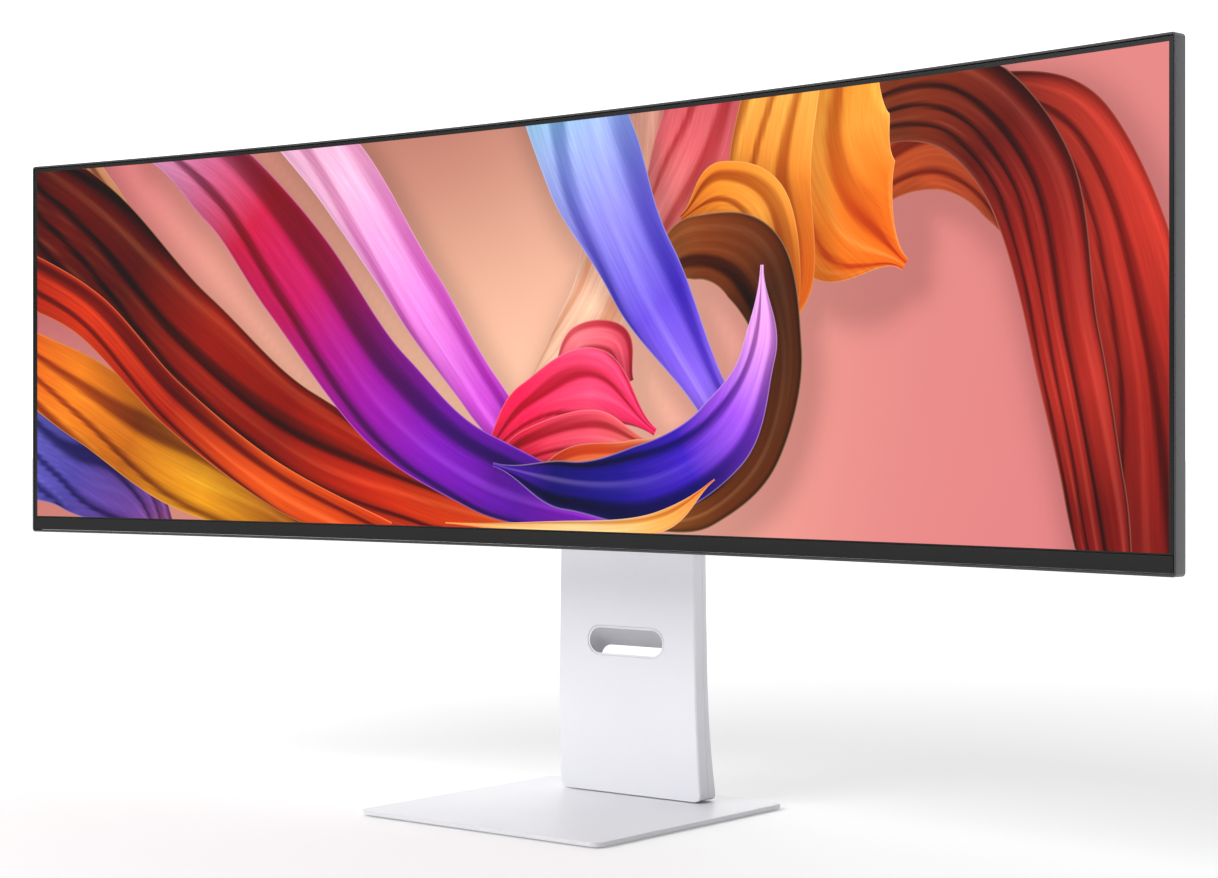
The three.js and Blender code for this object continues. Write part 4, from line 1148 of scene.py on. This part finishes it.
@dataclass
class Remaining:
    """Every other piece: a merged copy with rounded edges, in its own finish.

    Attributes:
        replaced: Nodes that the classes above stand for.
        plain: Nodes without rounded edges.
        bevels_mm: Rounding by node; the rest take the usual one.
        usual_mm: The usual rounding.
    """

    replaced: tuple[str, ...] = (
        "front_frame", "lcd_panel", "bottom_bezel", "base_plate", "lift_spring_left",
        "lift_spring_right",
    )
    plain: tuple[str, ...] = (
        "rear_cover", "tilt_spring_left", "tilt_spring_right", "optical_sheets", "light_guide",
        "backlight_tray", "led_bar",
    )
    bevels_mm: dict[str, float] = field(
        default_factory=lambda: {
            "column_front_cover": 0.12, "column_rear_cover": 0.12, "arm_shroud": 0.8,
            "column_top_cap": 0.4, "cable_slot_liner": 0.5,
        }
    )
    usual_mm: float = 0.25

    @staticmethod
    def shade_liner_inside(piece: Piece) -> None:
        """Paints shade inside the liner of the cable slot: a greyer finish on all faces but its
        rims, which face along Y.

        Args:
            piece: The liner.
        """
        piece.data.materials.append(LINER_SHADE_FINISH.material())
        normals = np.empty(3 * len(piece.data.polygons))
        piece.data.polygons.foreach_get("normal", normals)
        inside = np.abs(normals.reshape(-1, 3)[:, 1]) < 0.8
        piece.data.polygons.foreach_set("material_index", inside.astype(np.int32))

    def build(self) -> None:
        """Dresses each piece that no finer one stands for."""
        record = frame["record"]
        slots = {part["node"]: Slot(part["material_slot"]) for part in record["subparts"]}
        bodies = record["behaviour"]["bodies"].items()
        body_of = {node: body for body, members in bodies for node in members}
        for node in sorted(set(frame["nodes"]) - set(self.replaced)):
            bevel_mm = 0.0 if node in self.plain else self.bevels_mm.get(node, self.usual_mm)
            piece = merged_copy(node, bevel_mm)
            dress(piece, node, slots[node], body_of[node])
            # The liner's inside takes painted shade.
            if node == "cable_slot_liner":
                self.shade_liner_inside(piece)


# ---- room


@dataclass(frozen=True)
class Studio:
    """A pale floor, soft light from all round and a level camera.

    Attributes:
        eye: Where the camera stands.
        turn: How far it is turned to the left, in degrees.
        lens_mm: Its focal length on a 36 mm sensor.
        floor: Half the floor's side.
        near_glow: Light that the floor gives by itself under the stand.
        floor_glow: Light that the far floor gives by itself.
        dim: Brightness of the room behind the viewer.
        bright: Brightness of the backdrop.
        key_power: Power of the key light in watts.
        top_power: Power of the overhead light in watts.
        lamp_side: Side of each lamp.
    """

    eye: Triple = (1.256, -1.5094, 0.3173)
    turn: float = 38.877
    lens_mm: float = 68.25
    floor: float = 30.0
    near_glow: float = 0.14
    floor_glow: float = 0.5
    dim: float = 0.24
    bright: float = 1.5
    key_power: float = 150.0
    top_power: float = 10.0
    lamp_side: float = 3.0

    def camera(self) -> None:
        """Sets the camera."""
        lens = bpy.data.cameras.new("studio_camera")
        lens.lens, lens.sensor_width, lens.clip_end = self.lens_mm, 36.0, 200.0
        holder = linked("studio_camera", lens)
        holder.location = self.eye
        holder.rotation_euler = (math.pi / 2, 0, math.radians(self.turn))
        bpy.context.scene.camera = holder

    def ground(self) -> None:
        """Lays the floor, whose far parts are lit from below as on a light table."""
        h = self.floor
        corners = np.array([[-h, -h, 0], [h, -h, 0], [h, h, 0], [-h, h, 0]])
        floor = surface("studio_floor", corners, [[0, 1, 2, 3]], smooth=False)
        paper = Finish("seamless_paper", "e9e9e9", "efefef", 0.95, grain_mm=2.0, drift_mm=900.0)
        sheet = paper.material()
        tree = sheet.node_tree
        shader = next(node for node in tree.nodes if node.type == "BSDF_PRINCIPLED")
        shader.inputs["Emission Color"].default_value = (1, 1, 1, 1)
        place = add_node(tree, "TexCoord").outputs["Object"]
        away = add_node(tree, "VectorMath", {"operation": "LENGTH"}, Vector=place)
        glow = add_node(
            tree, "MapRange",
            {"interpolation_type": "SMOOTHSTEP", "From Min": 0.3, "From Max": 2.5,
             "To Min": self.near_glow, "To Max": self.floor_glow},
            Value=away.outputs["Value"],
        )
        tree.links.new(glow.outputs["Result"], shader.inputs["Emission Strength"])
        floor.data.materials.append(sheet)

    def lamp(self, name: str, place: Triple, aim: Triple, power: float) -> None:
        """Hangs a square soft light.

        Args:
            name: Its name.
            place: Where it hangs.
            aim: What it points at.
            power: Its power in watts.
        """
        light = bpy.data.lights.new(name, "AREA")
        light.size, light.energy = self.lamp_side, power
        holder = linked(name, light)
        holder.location = place
        way = Vector(aim) - Vector(place)
        holder.rotation_euler = way.to_track_quat("-Z", "Y").to_euler()

    def sky(self) -> None:
        """Surrounds the room with white, bright ahead and dimmer behind the viewer."""
        world = bpy.data.worlds.new("white_room")
        world.use_nodes = True
        tree = world.node_tree
        tree.nodes.clear()
        turn = math.radians(self.turn)
        way = add_node(tree, "TexCoord").outputs["Generated"]
        along = add_node(tree, "VectorMath", {"operation": "DOT_PRODUCT"}, Vector=way)
        along.inputs[1].default_value = (-math.sin(turn), math.cos(turn), 0.0)
        bright = add_node(
            tree, "MapRange",
            {"interpolation_type": "SMOOTHSTEP", "From Min": -0.1, "From Max": 0.8,
             "To Min": self.dim, "To Max": self.bright},
            Value=along.outputs["Value"],
        )
        room = add_node(tree, "Background", {"Color": (1, 1, 1, 1)}, Strength=bright)
        add_node(tree, "OutputWorld", Surface=room)
        bpy.context.scene.world = world

    def build(self) -> None:
        """Sets the camera, floor and lights, and a plain tone curve."""
        bpy.context.scene.view_settings.view_transform = "Standard"
        self.camera()
        self.ground()
        self.sky()
        self.lamp("key_light", (-1.2, -3.8, 2.7), (0, 0, 0.1), self.key_power)
        self.lamp("top_light", (0.3, -0.4, 3.2), (0, 0, 0), self.top_power)


def main() -> None:
    """Builds every part in order."""
    logging.basicConfig(level=logging.INFO, format="%(message)s")
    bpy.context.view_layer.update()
    Studio().build()
    CurvedScreen().build()
    Base().build()
    LiftSprings().build()
    Remaining().build()


if __name__ == "__main__":
    main()
